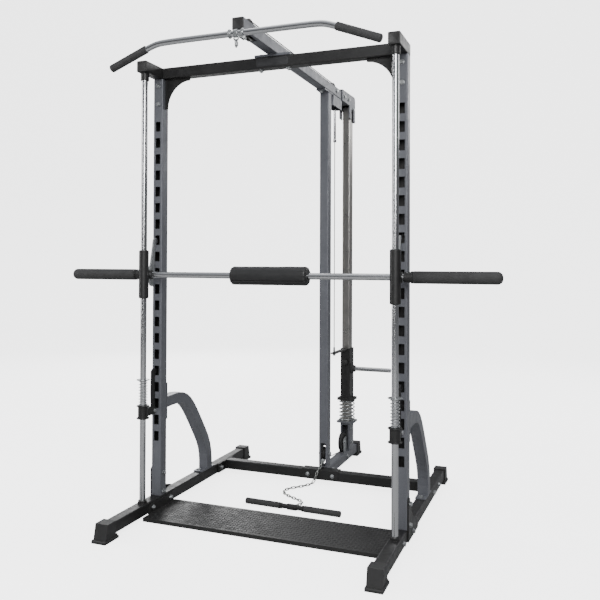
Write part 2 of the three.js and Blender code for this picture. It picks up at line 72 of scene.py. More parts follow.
def low(node):
    return Vector(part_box(node)[0])


def high(node):
    return Vector(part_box(node)[1])


# ---------------------------------------------------------------- camera, floor and lights
FRONT = low("upright_left").y  # the uprights' front face
ARM_MID = 2.0433  # height of the middle of the top arms and the crossbar
ARM_UNDER = ARM_MID - 25 * MM
BEAM_UNDER = 2.070  # height of the underside of the top beam
POST_FOOT = 70.8 * MM  # height of the welds round the feet of the posts and rods


def camera():
    data = bpy.data.cameras.new("camera")
    data.lens, data.sensor_width, data.shift_y = 42.2, 36, -0.075
    data.clip_end = 100
    obj = bpy.data.objects.new("camera", data)
    obj.location = (1.225, FRONT - 2.838, 1.154)
    obj.rotation_euler = [math.radians(a) for a in (90.7, -0.2, 21.0)]
    bpy.context.scene.collection.objects.link(obj)
    bpy.context.scene.camera = obj


def area_light(name, location, target, size, power):
    data = bpy.data.lights.new(name, "AREA")
    data.shape, data.size, data.size_y = "RECTANGLE", size[0], size[1]
    data.energy = power
    obj = bpy.data.objects.new(name, data)
    obj.location = location
    obj.rotation_euler = (Vector(target) - Vector(location)).to_track_quat("-Z", "Y").to_euler()
    bpy.context.scene.collection.objects.link(obj)


def world():
    """A dim room that is paler overhead, so that plated parts reflect dark and light bands."""
    made = bpy.data.worlds.new("studio")
    made.use_nodes = True
    tree = made.node_tree
    back = tree.nodes["Background"]
    place = tree.nodes.new("ShaderNodeTexCoord")
    split = tree.nodes.new("ShaderNodeSeparateXYZ")
    ramp = tree.nodes.new("ShaderNodeValToRGB")
    tree.links.new(place.outputs["Generated"], split.inputs["Vector"])
    tree.links.new(split.outputs["Z"], ramp.inputs["Fac"])
    tree.links.new(ramp.outputs["Color"], back.inputs["Color"])
    ramp.color_ramp.elements[0].color = (0.10, 0.10, 0.105, 1)
    ramp.color_ramp.elements[1].position = 0.8
    ramp.color_ramp.elements[1].color = (0.62, 0.64, 0.67, 1)
    bpy.context.scene.world = made


def lights():
    area_light("key", (2.3, -5.2, 3.3), (0, -0.2, 1.0), (1.5, 3.0), 250)
    area_light("fill", (-4.6, -2.4, 2.2), (0, 0, 1.0), (0.9, 3.4), 85)
    area_light("strip", (0.2, -5.6, 2.2), (0, 0, 1.1), (0.3, 3.2), 30)
    area_light("rim", (2.6, 4.2, 3.2), (0, 0.3, 1.1), (2.4, 1.4), 60)
    area_light("back_left", (-3.2, 4.4, 2.6), (0, 0.3, 1.0), (1.6, 2.4), 90)
    area_light("top", (0, 0, 5.2), (0, 0, 0), (3.6, 3.6), 55)


def studio_sweep():
    """Paper that lies flat, then curves up behind. Plating mirrors it darker than it is seen."""
    near, far, turn, height, half = -9.0, 6.0, 3.0, 9.0, 14.0
    rows = [(near, 0.0), (far, 0.0)]
    for degrees in range(6, 91, 6):
        a = math.radians(degrees)
        rows.append((far + turn * math.sin(a), turn - turn * math.cos(a)))
    rows.append((far + turn, height))
    verts = [(x, y, z) for y, z in rows for x in (-half, half)]
    faces = [(2 * i, 2 * i + 1, 2 * i + 3, 2 * i + 2) for i in range(len(rows) - 1)]
    mesh = bpy.data.meshes.new("studio_floor")
    mesh.from_pydata(verts, [], faces)
    mesh.polygons.foreach_set("use_smooth", [True] * len(mesh.polygons))
    obj = bpy.data.objects.new("studio_floor", mesh)
    bpy.context.scene.collection.objects.link(obj)
    paper = bpy.data.materials.new("studio_paper")
    paper.use_nodes = True
    tree = paper.node_tree
    shader = tree.nodes["Principled BSDF"]
    shader.inputs["Roughness"].default_value = 0.95
    shader.inputs["Specular IOR Level"].default_value = 0.1
    shader.inputs["Emission Color"].default_value = (1, 1, 1, 1)
    seen = tree.nodes.new("ShaderNodeLightPath").outputs["Is Camera Ray"]
    for socket, mirrored, direct in (("Emission Strength", 0.0, 3.2), ("Base Color", 0.42, 0.94)):
        amount = tree.nodes.new("ShaderNodeMapRange")
        amount.inputs["To Min"].default_value = mirrored
        amount.inputs["To Max"].default_value = direct
        tree.links.new(seen, amount.inputs["Value"])
        tree.links.new(amount.outputs["Result"], shader.inputs[socket])
    mesh.materials.append(paper)


# ---------------------------------------------------------------- materials
class Nodes:
    """Short calls for one material's node tree."""

    def __init__(self, name):
        self.material = bpy.data.materials.new(name)
        self.material.use_nodes = True
        self.tree = self.material.node_tree
        self.shader = self.tree.nodes["Principled BSDF"]
        self.place = self.make("ShaderNodeTexCoord").outputs["Object"]

    def make(self, kind, **values):
        node = self.tree.nodes.new(kind)
        for key, value in values.items():
            setattr(node, key, value)
        return node

    def link(self, a, b):
        self.tree.links.new(a, b)

    def noise(self, scale, detail=3.0, roughness=0.55, stretch=(1, 1, 1)):
        node = self.make("ShaderNodeTexNoise")
        node.inputs["Scale"].default_value = scale
        node.inputs["Detail"].default_value = detail
        node.inputs["Roughness"].default_value = roughness
        source = self.place
        if stretch != (1, 1, 1):
            mapping = self.make("ShaderNodeMapping")
            mapping.inputs["Scale"].default_value = stretch
            self.link(source, mapping.inputs["Vector"])
            source = mapping.outputs["Vector"]
        self.link(source, node.inputs["Vector"])
        return node.outputs["Fac"]

    def cells(self, scale, feature="F1"):
        node = self.make("ShaderNodeTexVoronoi", feature=feature)
        node.inputs["Scale"].default_value = scale
        self.link(self.place, node.inputs["Vector"])
        return node.outputs["Distance"]

    def spread(self, value, lo, hi, start=0.3, end=0.7):
        node = self.make("ShaderNodeMapRange")
        for key, number in zip(("From Min", "From Max", "To Min", "To Max"), (start, end, lo, hi)):
            node.inputs[key].default_value = number
        self.link(value, node.inputs["Value"])
        return node.outputs["Result"]

    def blend(self, factor, a, b):
        node = self.make("ShaderNodeMix", data_type="RGBA")
        self.link(factor, node.inputs["Factor"])
        for socket, value in ((node.inputs[6], a), (node.inputs[7], b)):
            if isinstance(value, tuple):
                socket.default_value = (*value, 1)
            else:
                self.link(value, socket)
        return node.outputs[2]

    def edges(self, radius):
        """1 along convex and concave edges, 0 on flat faces, and the rounded normal itself."""
        bevel = self.make("ShaderNodeBevel", samples=4)
        bevel.inputs["Radius"].default_value = radius
        flat = self.make("ShaderNodeNewGeometry").outputs["Normal"]
        dot = self.make("ShaderNodeVectorMath", operation="DOT_PRODUCT")
        self.link(bevel.outputs["Normal"], dot.inputs[0])
        self.link(flat, dot.inputs[1])
        return self.spread(dot.outputs["Value"], 1.0, 0.0, 0.86, 0.995), bevel.outputs["Normal"]

    def product(self, a, b):
        node = self.make("ShaderNodeMath", operation="MULTIPLY")
        self.link(a, node.inputs[0])
        self.link(b, node.inputs[1])
        return node.outputs[0]

    def bump(self, height, depth, strength=1.0, normal=None):
        node = self.make("ShaderNodeBump")
        node.inputs["Distance"].default_value = depth
        node.inputs["Strength"].default_value = strength
        self.link(height, node.inputs["Height"])
        if normal is not None:
            self.link(normal, node.inputs["Normal"])
        return node.outputs["Normal"]

    def finish(self, color, roughness, normal, metallic=0.0):
        self.link(color, self.shader.inputs["Base Color"])
        self.link(roughness, self.shader.inputs["Roughness"])
        self.link(normal, self.shader.inputs["Normal"])
        self.shader.inputs["Metallic"].default_value = metallic
        return self.material


def powder_coat(name, color, worn, rough, metallic, sparkle):
    """Sprayed paint: fine flakes, peel, dust and a little wear along its edges."""
    n = Nodes(name)
    pale = tuple(min(1, c * 1.16 + 0.004) for c in color)
    tint = n.blend(n.spread(n.noise(5, 4), 0, 1), color, pale)
    flake = n.spread(n.noise(2600, 1), 0, sparkle, 0.55, 0.8)
    tint = n.blend(flake, tint, (0.75, 0.76, 0.78))
    edge, soft = n.edges(1.6 * MM)
    chips = n.spread(n.noise(160, 5, 0.7), 0, 0.22, 0.48, 0.72)
    tint = n.blend(n.product(edge, chips), tint, worn)
    dust = n.spread(n.noise(28, 6, 0.65), rough[0], rough[1])
    peel = n.bump(n.noise(900, 2), 0.12 * MM, 0.35, soft)
    return n.finish(tint, dust, n.bump(n.noise(55, 2), 0.25 * MM, 0.25, peel), metallic)


def plated(name, color, rough, brushed, blotch, along=(1, 1, 1), rounding=0.6 * MM):
    """Bright metal; a rounding of 0 leaves the mesh's own shading, which round bars need."""
    n = Nodes(name)
    dark = tuple(c * (1 - blotch) for c in color)
    tint = n.blend(n.spread(n.noise(40, 5, 0.7), 0, 1), dark, color)
    smudge = n.spread(n.noise(11, 5, 0.7), rough[0], rough[1])
    soft = n.edges(rounding)[1] if rounding else None
    lines = n.noise(700, 3, 0.6, along)
    return n.finish(tint, smudge, n.bump(lines, 0.05 * MM, brushed, soft), 1.0)


def moulded(name, color, rough):
    """Moulded plastic, finely grained and scuffed along its edges."""
    n = Nodes(name)
    pale = tuple(c * 1.2 + 0.003 for c in color)
    tint = n.blend(n.spread(n.noise(14, 6, 0.7), 0, 1), color, pale)
    edge, soft = n.edges(1.2 * MM)
    scuff = n.product(edge, n.spread(n.noise(220, 4, 0.7), 0, 0.5))
    tint = n.blend(scuff, tint, tuple(c * 2.2 + 0.02 for c in color))
    shine = n.spread(n.noise(35, 5, 0.7), rough[0], rough[1])
    return n.finish(tint, shine, n.bump(n.noise(1400, 3), 0.12 * MM, 0.5, soft))


def leather(name):
    n = Nodes(name)
    grain = n.cells(620, "DISTANCE_TO_EDGE")
    dark, pale = (0.0085, 0.0085, 0.0088), (0.016, 0.016, 0.017)
    tint = n.blend(n.spread(n.noise(9, 6, 0.7), 0, 1), dark, pale)
    tint = n.blend(n.spread(grain, 0.6, 0, 0.0, 0.12), tint, (0.006, 0.006, 0.006))
    shine = n.spread(n.noise(30, 5, 0.7), 0.38, 0.56)
    creases = n.bump(n.noise(45, 5, 0.6, (1, 3, 3)), 0.8 * MM, 0.35)
    return n.finish(tint, shine, n.bump(grain, 0.5 * MM, 0.5, creases))


def knurled_rubber(name, color):
    n = Nodes(name)
    tint = n.blend(n.spread(n.noise(18, 6, 0.7), 0, 1), color, tuple(c * 1.5 + 0.004 for c in color))
    pores = n.cells(1260)
    shine = n.spread(n.noise(40, 4), 0.62, 0.84)
    soft = n.bump(n.noise(90, 4), 0.5 * MM, 0.25)
    return n.finish(tint, shine, n.bump(pores, 0.3 * MM, 0.55, soft))


MATERIALS = {
    "grey_paint": powder_coat("grey_paint", (0.108, 0.112, 0.126), worn=(0.19, 0.19, 0.2),
                              rough=(0.34, 0.5), metallic=0.35, sparkle=0.16),
    "black_paint": powder_coat("black_paint", (0.005, 0.0048, 0.0048), worn=(0.03, 0.03, 0.03),
                               rough=(0.38, 0.54), metallic=0.0, sparkle=0.01),
    "tread": powder_coat("tread", (0.008, 0.0077, 0.0074), worn=(0.05, 0.048, 0.045),
                         rough=(0.4, 0.6), metallic=0.0, sparkle=0.02),
    "chrome": plated("chrome", (0.56, 0.565, 0.575), (0.15, 0.22), brushed=0.03, blotch=0.05, rounding=0),
    "brushed": plated("brushed_steel", (0.4, 0.39, 0.37), (0.26, 0.34), brushed=0.12, blotch=0.08,
                      along=(1, 1, 0.02)),
    "chain_steel": plated("chain_steel", (0.42, 0.43, 0.41), (0.28, 0.46), brushed=0.3, blotch=0.3),
    "zinc": plated("zinc", (0.43, 0.445, 0.45), (0.26, 0.46), brushed=0.5, blotch=0.2),
    "rubber": knurled_rubber("rubber", (0.022, 0.022, 0.0225)),
    "plastic": moulded("plastic", (0.013, 0.0128, 0.0128), (0.42, 0.62)),
    "vinyl": leather("vinyl"),
    "dark_grey": moulded("dark_grey_plastic", (0.02, 0.0205, 0.022), (0.4, 0.58)),
}


# ---------------------------------------------------------------- shapes
def facing(origin, along, up=None):
    """A frame at origin whose Z runs along, with up as near to its Y as can be."""
    z = Vector(along).normalized()
    guide = Vector(up) if up else (X if abs(z.x) < 0.9 else Y)
    x = guide.cross(z).normalized()
    return Matrix.Translation(origin) @ Matrix((x, z.cross(x), z)).transposed().to_4x4()


def turns(count, start=0.0):
    """Angles evenly spaced round a circle."""
    return [2 * math.pi * (k + start) / count for k in range(count)]


def mm(rows):
    """Rows of numbers in millimetres, in metres."""
    return [tuple(v * MM for v in row) for row in rows]


def pin_profile(radius, lo, hi):
    return [(0, lo), (radius, lo), (radius, hi), (0, hi)]


def pipe_profile(outer, inner, lo, hi, edge=0.8 * MM):
    return [(inner, lo), (outer - edge, lo), (outer, lo + edge), (outer, hi - edge), (outer - edge, hi),
            (inner, hi), (inner, lo)]


class Shape:
    """Collects closed surfaces into one mesh."""

    def __init__(self):
        self.verts, self.faces = [], []

    def surface(self, rings, loop=False):
        """Joins neighbouring rings and closes both ends, or joins the last ring to the first."""
        start = len(self.verts)
        sizes = [len(r) for r in rings]
        offsets = [start + sum(sizes[:i]) for i in range(len(rings))]
        for ring in rings:
            self.verts += [Vector(v) for v in ring]
        count = len(rings)
        for i in range(count if loop else count - 1):
            a, b = offsets[i], offsets[(i + 1) % count]
            na, nb = sizes[i], sizes[(i + 1) % count]
            n = max(na, nb)
            for k in range(n):
                face = [a + k % na, a + (k + 1) % na, b + (k + 1) % nb, b + k % nb]
                face = [v for j, v in enumerate(face) if v not in face[:j]]
                if len(face) > 2:
                    self.faces.append(face)
        if not loop:
            if sizes[0] > 1:
                self.faces.append(list(range(offsets[0], offsets[0] + sizes[0]))[::-1])
            if sizes[-1] > 1:
                self.faces.append(list(range(offsets[-1], offsets[-1] + sizes[-1])))
        return self

    def lathe(self, profile, place, sides=40, start=0.0):
        """profile: (radius, height) pairs, anticlockwise; it starts and ends on the axis, or closes."""
        loop = profile[0] == profile[-1]
        rows = profile[:-1] if loop else profile
        rings = []
        for radius, height in rows:
            if radius == 0:
                rings.append([place @ Vector((0, 0, height))])
                continue
            rings.append([place @ Vector((radius * math.cos(a), radius * math.sin(a), height))
                          for a in turns(sides, start)])
        return self.surface(rings, loop=loop)

    def sweep(self, points, radius, sides=12, loop=False):
        """A round bar along points; radius may be a list, one for each point."""
        points = [Vector(p) for p in points]
        count = len(points)
        tangents = []
        for i in range(count):
            before = points[i - 1] if i or loop else points[0]
            after = points[(i + 1) % count] if i < count - 1 or loop else points[-1]
            tangents.append((after - before).normalized())
        across = tangents[0].cross(Z if abs(tangents[0].z) < 0.9 else Y).normalized()
        rings = []
        for i, (point, along) in enumerate(zip(points, tangents)):
            across = (across - along * across.dot(along)).normalized()
            up = along.cross(across)
            r = radius[i] if isinstance(radius, list) else radius
            rings.append([point + across * (math.cos(a) * r) + up * (math.sin(a) * r)
                          for a in turns(sides)])
        return self.surface(rings, loop=loop)

    def prism(self, outline, place, depth):
        """outline: (x, y) pairs, anticlockwise, extruded along place's Z."""
        bottom = [place @ Vector((u, v, 0)) for u, v in outline]
        top = [place @ Vector((u, v, depth)) for u, v in outline]
        return self.surface([bottom, top])

    def block(self, lo, hi):
        (x0, y0, z0), (x1, y1, z1) = lo, hi
        outline = [(x0, y0), (x1, y0), (x1, y1), (x0, y1)]
        return self.prism(outline, Matrix.Translation((0, 0, z0)), z1 - z0)

    def piece(self, name, look, body, bevel=0.0, smooth=38):
        mesh = bpy.data.meshes.new(name)
        mesh.from_pydata([tuple(v) for v in self.verts], [], self.faces)
        mesh.validate()
        mesh.polygons.foreach_set("use_smooth", [True] * len(mesh.polygons))
        mesh.set_sharp_from_angle(angle=math.radians(smooth))
        mesh.materials.append(MATERIALS[look])
        obj = bpy.data.objects.new(name, mesh)
        bpy.context.scene.collection.objects.link(obj)
        fix_normals(mesh)
        if bevel:
            soften(obj, bevel)
        if body:
            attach(obj, body)
        return obj


def fix_normals(mesh):
    bm = bmesh.new()
    bm.from_mesh(mesh)
    bmesh.ops.recalc_face_normals(bm, faces=bm.faces)
    bm.to_mesh(mesh)
    bm.free()


def soften(obj, width, segments=2):
    mod = obj.modifiers.new("soft_edges", "BEVEL")
    mod.width, mod.segments, mod.limit_method = width, segments, "ANGLE"
    mod.angle_limit = math.radians(35)
    mod.harden_normals = False


def smooth_curve(points, per=6):
    """Points along a Catmull-Rom curve through points."""
    points = [Vector(p) for p in points]
    ends = [2 * points[0] - points[1], *points, 2 * points[-1] - points[-2]]
    made = []
    for i in range(1, len(ends) - 2):
        a, b, c, d = ends[i - 1:i + 3]
        for k in range(per):
            t = k / per
            made.append(0.5 * (2 * b + (c - a) * t + (2 * a - 5 * b + 4 * c - d) * t * t
                               + (3 * b - a - 3 * c + d) * t ** 3))
    return made + [points[-1]]


def arc(centre, u, v, radius, start, end, steps):
    angles = [math.radians(start + (end - start) * i / steps) for i in range(steps + 1)]
    return [Vector(centre) + u * (radius * math.cos(a)) + v * (radius * math.sin(a)) for a in angles]


WASHER = 1.8 * MM  # thickness of a washer


def hex_bolt(shape, origin, out, across=17 * MM, height=7.5 * MM, washer=11 * MM):
    place = facing(origin, out)
    r = across / math.sqrt(3)
    t = WASHER
    shape.lathe([(0, 0), (washer, 0), (washer, t - 0.5 * MM), (washer - 0.5 * MM, t), (0, t)], place, 28)
    top = t + height
    shape.lathe([(0, t), (r, t), (r, top - 1.2 * MM), (r * 0.87, top), (0, top - 0.4 * MM)], place, 6,
                random.random())


def bolt_pair(shape, x, y, z, *size):
    """The same bolt on both sides, facing outwards."""
    for s in (-1, 1):
        hex_bolt(shape, (s * x, y, z), s * X, *size)


def hex_nut(shape, origin, out, across=17 * MM, height=8 * MM):
    """The same hexagon, with the end of its bolt standing out of it."""
    hex_bolt(shape, origin, out, across, height)
    top, end = WASHER + height, WASHER + height + 3.2 * MM
    r = 4.6 * MM
    rows = [(0, top - 2 * MM), (r, top - 2 * MM), (r, end - 0.8 * MM), (r - 0.7 * MM, end), (0, end)]
    shape.lathe(rows, facing(origin, out), 16)


def weld_bead(shape, points, radius=2.2 * MM):
    """A rippled fillet of weld along a line."""
    dense = []
    for a, b in zip(points, points[1:]):
        a, b = Vector(a), Vector(b)
        steps = max(2, round((b - a).length / (3 * MM)))
        dense += [a.lerp(b, k / steps) for k in range(steps)]
    dense.append(Vector(points[-1]))
    radii = [radius * (0.85 + 0.2 * math.sin(i * 2.1) + 0.1 * random.random()) for i in range(len(dense))]
    radii[0] = radii[-1] = radius * 0.4
    shape.sweep(dense, radii, 7)


# ---------------------------------------------------------------- the frame's own pieces that stay
KEPT = {
    "grey_paint": ["upright_left", "upright_right", "brace_left", "brace_right", "top_beam", "tower_upright",
                   "base_beam", "column_post", "column_bracket"],
    "black_paint": ["base_rail_left", "base_rail_right", "crossmember", "gusset_left", "gusset_right",
                    "top_arm_left", "top_arm_right", "crossbar", "carriage", "stop_latch_left",
                    "stop_latch_right"],
    "tread": ["tread_plate"],
    "brushed": ["guide_column"],
    "zinc": ["low_pulley_bracket", "bar_hook_left", "bar_hook_right"],
    "plastic": ["front_foot_left", "front_foot_right", "rear_foot_left", "rear_foot_right", "tower_foot"],
}
ROUNDING = {"plastic": 4 * MM, "tread": 0.8 * MM, "zinc": 0.8 * MM, "brushed": 2.5 * MM}


def dress_kept_nodes():
    for material, names in KEPT.items():
        for name in names:
            obj = bpy.data.objects[name]
            for slot in obj.material_slots:
                slot.link = "OBJECT"
                slot.material = MATERIALS[material]
            soften(obj, ROUNDING.get(material, 2.4 * MM), 3 if material == "plastic" else 2)


# ---------------------------------------------------------------- the Smith bar and its slides
RODS = {s: middle(f"guide_rod_{s}") for s in SIDES}
BAR = Vector((0, middle("smith_bar").y, middle("smith_bar").z))
ROD_R = (high("guide_rod_left").x - low("guide_rod_left").x) / 2
BAR_R = (high("smith_bar").z - low("smith_bar").z) / 2


def shifted(point, dx):
    return Vector(point) + dx * X


def guide_rods():
    for side in SIDES:
        rod = RODS[side]
        lo, hi = low(f"guide_rod_{side}").z, high(f"guide_rod_{side}").z
        place = Matrix.Translation((rod.x, rod.y, 0))
        shape = Shape().lathe(pipe_profile(ROD_R, ROD_R - 3 * MM, lo, hi), place, 64)
        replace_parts(shape.piece(f"rod_{side}", "chrome", "frame"), f"guide_rod_{side}")


def smith_bar():
    along = facing(BAR, X, Z)
    half = high("smith_bar").x
    tube = Shape().lathe(pipe_profile(BAR_R, BAR_R - 3 * MM, -half, half), along, 64)
    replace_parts(tube.piece("bar", "chrome", "smith_bar"), "smith_bar")
    inner, outer = low("bar_sleeve_right").x, high("bar_sleeve_right").x
    r, nose, bore = high("bar_sleeve_right").z - BAR.z, 21 * MM, BAR_R + 0.3 * MM
    dome = [(r - nose + nose * math.cos(a), outer - nose + nose * math.sin(a))
            for a in [math.radians(9 * i) for i in range(11)]]
    for side, sign in SIDES.items():
        place = facing(BAR, sign * X, Z)
        sleeve = Shape().lathe([(0, half + 0.2 * MM), (bore, half), (bore, inner), (r - 1.5 * MM, inner),
                                (r, inner + 1.5 * MM), *dome, (0, outer)], place, 64)
        part = sleeve.piece(f"sleeve_{side}", "rubber", "smith_bar", smooth=50)
        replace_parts(part, f"bar_sleeve_{side}")
        a, b = inner - 37 * MM, inner - 0.4 * MM
        thin, thick = 21.5 * MM, 24.5 * MM
        rows = [(bore, a), (thin - MM, a), (thin, a + MM), (thin, b - 9 * MM), (thick, b - 8 * MM),
                (thick, b - MM), (thick - MM, b), (bore, b), (bore, a)]
        ring = Shape().lathe(rows, place, 48)
        ring.piece(f"collar_{side}", "black_paint", "smith_bar")
        rows = mm([(0, 18), (3.4, 18), (3.4, 22.6), (2.8, 23), (1.8, 23), (1.6, 21.4), (0, 21.4)])
        root = shifted(BAR, sign * (a + 14 * MM))
        screw = Shape().lathe(rows, facing(root, Vector((0, -0.55, 0.83))), 20)
        screw.piece(f"collar_screw_{side}", "zinc", "smith_bar")


def bar_pad():
    """The foam roll: slack vinyl drawn in at both ends, with a slit along it that closes unevenly."""
    lo, hi = low("bar_pad"), high("bar_pad")
    centre, half, r = (lo + hi) / 2, (hi.x - lo.x) / 2, (hi.z - lo.z) / 2
    sides, rows = 112, 96
    place = facing(centre, X, Z)
    bore = BAR_R + 0.5 * MM
    round_pad = turns(sides)
    rings = []
    for i in range(rows + 1):
        t = i / rows
        x = (2 * t - 1) * half
        end = min(t, 1 - t) * 2 * half
        lip = min(1, end / (13 * MM))
        girth = r * (0.985 - 0.03 * (1 - math.sqrt(max(0, 1 - (1 - lip) ** 2))) * 9)
        ring = []
        for a in round_pad:
            fold = noise.noise(Vector((x * 9, math.cos(a) * 1.5, math.sin(a) * 1.5)))
            fine = noise.noise(Vector((x * 42, math.cos(a) * 3.4, math.sin(a) * 3.4 + 7)))
            gather = math.sin(a * 13 + 3 * fold) * math.exp(-end / (16 * MM)) * 1.4 * MM
            slit = (a - math.radians(214) + math.pi) % (2 * math.pi) - math.pi
            groove = -4.5 * MM * math.exp(-(slit / 0.045) ** 2) + 0.9 * MM * math.exp(-(slit / 0.17) ** 2)
            radius = girth + (fold * 0.9 + fine * 0.35 - 0.9) * MM + gather + groove
            ring.append(place @ Vector((radius * math.cos(a), radius * math.sin(a), x)))
        rings.append(ring)
    recess = half - 1.5 * MM
    first, inner, last = [[place @ Vector((bore * math.cos(a), bore * math.sin(a), z)) for a in round_pad]
                          for z in (-recess, 0, recess)]
    shape = Shape().surface([first, *rings, last, inner], loop=True)
    pad = shape.piece("foam_pad", "vinyl", "smith_bar", smooth=60)
    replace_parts(pad, "bar_pad")


def housings():
    """The slides: a long barrel round the rod, and two round ears that carry the bar."""
    for side in SIDES:
        lo, hi = low(f"housing_{side}"), high(f"housing_{side}")
        rod = RODS[side]
        r = 22 * MM
        up = Matrix.Translation((rod.x, rod.y, 0))
        bore = ROD_R + 0.5 * MM
        shape = Shape().lathe(pipe_profile(r, bore, lo.z, hi.z, 1.4 * MM), up, 56)
        for a, b in mm([(8.4, 22), (-22, -8.4)]):
            place = facing(shifted((rod.x, BAR.y, BAR.z), a), X, Z)
            shape.lathe(pipe_profile(21 * MM, BAR_R + 0.5 * MM, 0, b - a, MM), place, 48)
        barrel = shape.piece(f"slide_{side}", "black_paint", "bar_carriage")
        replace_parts(barrel, f"housing_{side}")
        bush = Shape()
        for z, out in ((lo.z, -1), (hi.z, 1)):
            edge = z - out * 0.2 * MM
            tight = bore - 0.3 * MM
            rows = [(tight, 0), (r - 3 * MM, 0), (r - 3.6 * MM, 2.4 * MM), (tight, 2.6 * MM), (tight, 0)]
            bush.lathe(rows, facing((rod.x, rod.y, edge), out * Z), 40)
        bush.piece(f"slide_bushes_{side}", "dark_grey", "bar_carriage")
        bead = Shape()
        for s in (-1, 1):
            x = rod.x + s * 15 * MM
            for dz in (-1, 1):
                corner = Vector((x, rod.y + 16 * MM, BAR.z + dz * 20 * MM))
                weld_bead(bead, [corner - 7 * MM * X, corner + 7 * MM * X], 2.0 * MM)
        bead.piece(f"slide_welds_{side}", "black_paint", "bar_carriage", smooth=80)


# ---------------------------------------------------------------- the safety stops
def safety_stops():
    """A spool on the rod, two ears back to the upright and the pin that the latch turns on."""
    for side in SIDES:
        lo, hi = low(f"stop_block_{side}"), high(f"stop_block_{side}")
        rod, body = RODS[side], f"{side}_stop"
        up = Matrix.Translation((rod.x, rod.y, 0))
        bore, wide, neck = ROD_R + 0.5 * MM, 28.5 * MM, 22.5 * MM
        a, b, lip = lo.z, hi.z, 5 * MM
        e = 0.9 * MM
        rows = [(bore, a), (wide - e, a), (wide, a + e), (wide, a + lip - e), (wide - e, a + lip),
                (neck + e, a + lip), (neck, a + lip + e), (neck, b - lip - e), (neck + e, b - lip),
                (wide - e, b - lip), (wide, b - lip + e), (wide, b - e), (wide - e, b), (bore, b), (bore, a)]
        shape = Shape().lathe(rows, up, 56)
        ear_y, ear_z = rod.y + 81 * MM, a + 22 * MM
        outline = [(0, -16), (75, -16), (93, -12), (97, 0), (91, 14), (75, 20), (0, 22)]
        for x in (5.4, -9.6):
            pts = [(rod.y + (18 + u * 0.81) * MM, ear_z + v * MM) for u, v in outline]
            shape.surface([[Vector((rod.x + dx * MM, y, z)) for y, z in pts] for dx in (x, x + 4.2)])
        block = shape.piece(f"stop_{side}", "black_paint", body, bevel=0.7 * MM)
        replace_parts(block, f"stop_block_{side}")
        pin = Shape()
        for s in (-1, 1):
            hex_bolt(pin, (rod.x + s * 9.7 * MM, ear_y, ear_z), s * X, 13 * MM, 4 * MM, 8.5 * MM)
        pin.lathe(pin_profile(4.9 * MM, -9.8 * MM, 9.8 * MM), facing((rod.x, ear_y, ear_z), X), 20)
        pin.piece(f"stop_pin_{side}", "zinc", body)
        stop_spring(side, b)


def coil(centre_x, centre_y, z0, z1, radius, rounds, wire):
    """Points of an open spring whose end turns close up; z0 and z1 are the wire's centre heights."""
    flat = 0.75
    steps = round(rounds * 30)
    rise = z1 - z0 - 2 * flat * 2 * wire
    pts = []
    for i in range(steps + 1):
        t = i / 30
        inside = min(max(t - flat, 0), rounds - 2 * flat) / (rounds - 2 * flat)
        closed = (min(t, flat) + max(0, t - rounds + flat)) * 2 * wire
        a, z = 2 * math.pi * t, z0 + inside * rise + closed
        pts.append((centre_x + radius * math.cos(a), centre_y + radius * math.sin(a), z))
    return pts


def stop_spring(side, seat):
    top = high(f"stop_spring_{side}").z
    rod, body = RODS[side], f"{side}_stop"
    washer = top - 3 * MM
    wire = 1.6 * MM
    line = coil(rod.x, rod.y, seat + wire + 0.2 * MM, washer - wire, 18 * MM, 9.5, wire)
    shape = Shape().sweep(line, wire, 12)
    bore = ROD_R + 0.6 * MM
    up = Matrix.Translation((rod.x, rod.y, 0))
    shape.lathe(pipe_profile(29 * MM, bore, washer, top, 0.7 * MM), up, 48)
    part = shape.piece(f"buffer_spring_{side}", "zinc", body, smooth=50)
    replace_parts(part, f"stop_spring_{side}")


# ---------------------------------------------------------------- the pulldown bar
LAT_R = 12.5 * MM


def lat_path():
    """The pulldown bar's centreline, level in the middle and sloping down past each bend."""
    lo, hi = low("lat_bar"), high("lat_bar")
    y, top = (lo.y + hi.y) / 2, hi.z - LAT_R
    tip, bend, soft, drop, half_steps = 582 * MM, 364 * MM, 26 * MM, 84 * MM, 48
    slope = drop / (tip - bend)
    rest = (-bend + math.hypot(bend, soft)) / 2
    path = []
    for i in range(-half_steps, half_steps + 1):
        x = tip * i / half_steps
        past = abs(x) - bend
        path.append(Vector((x, y, top - slope * ((past + math.hypot(past, soft)) / 2 - rest))))
    return path, slope


def ribbed(radius, rib, start, end, count):
    """Profile rows of a grip with shallow grooves round it."""
    depth = 0.8 * MM
    step = (end - start) / count
    rows = []
    for k in range(count):
        x = start + k * step
        rows += [(radius, x), (radius - depth, x + rib), (radius - depth, x + step / 2),
                 (radius, x + step / 2 + rib)]
    return rows


def pulldown_bar():
    path, slope = lat_path()
    bar = Shape().sweep(path, LAT_R, 40)
    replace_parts(bar.piece("lat_pull_bar", "chrome", "pulldown_bar", smooth=50), "lat_bar")
    angle = math.atan(slope)
    for side, sign in SIDES.items():
        along = Vector((sign * math.cos(angle), 0, -math.sin(angle)))
        place = facing(middle(f"lat_grip_{side}"), along, Y)
        big, bore, half = 16.5 * MM, LAT_R + 0.3 * MM, 92 * MM
        rows = [(bore, -half), (big - 2 * MM, -half), (big, -half + 2 * MM),
                *ribbed(big, MM, -half + 8 * MM, half - 12 * MM, 22),
                (big, half - 4 * MM), (big - MM, half - MM), (big - 4 * MM, half + 1.5 * MM),
                (0, half + 2 * MM), (0, half - MM), (bore, half - MM), (bore, -half)]
        grip = Shape().lathe(rows, place, 44)
        part = grip.piece(f"hand_grip_{side}", "rubber", "pulldown_bar", smooth=50)
        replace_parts(part, f"lat_grip_{side}")
    bar_swivel(path[len(path) // 2])


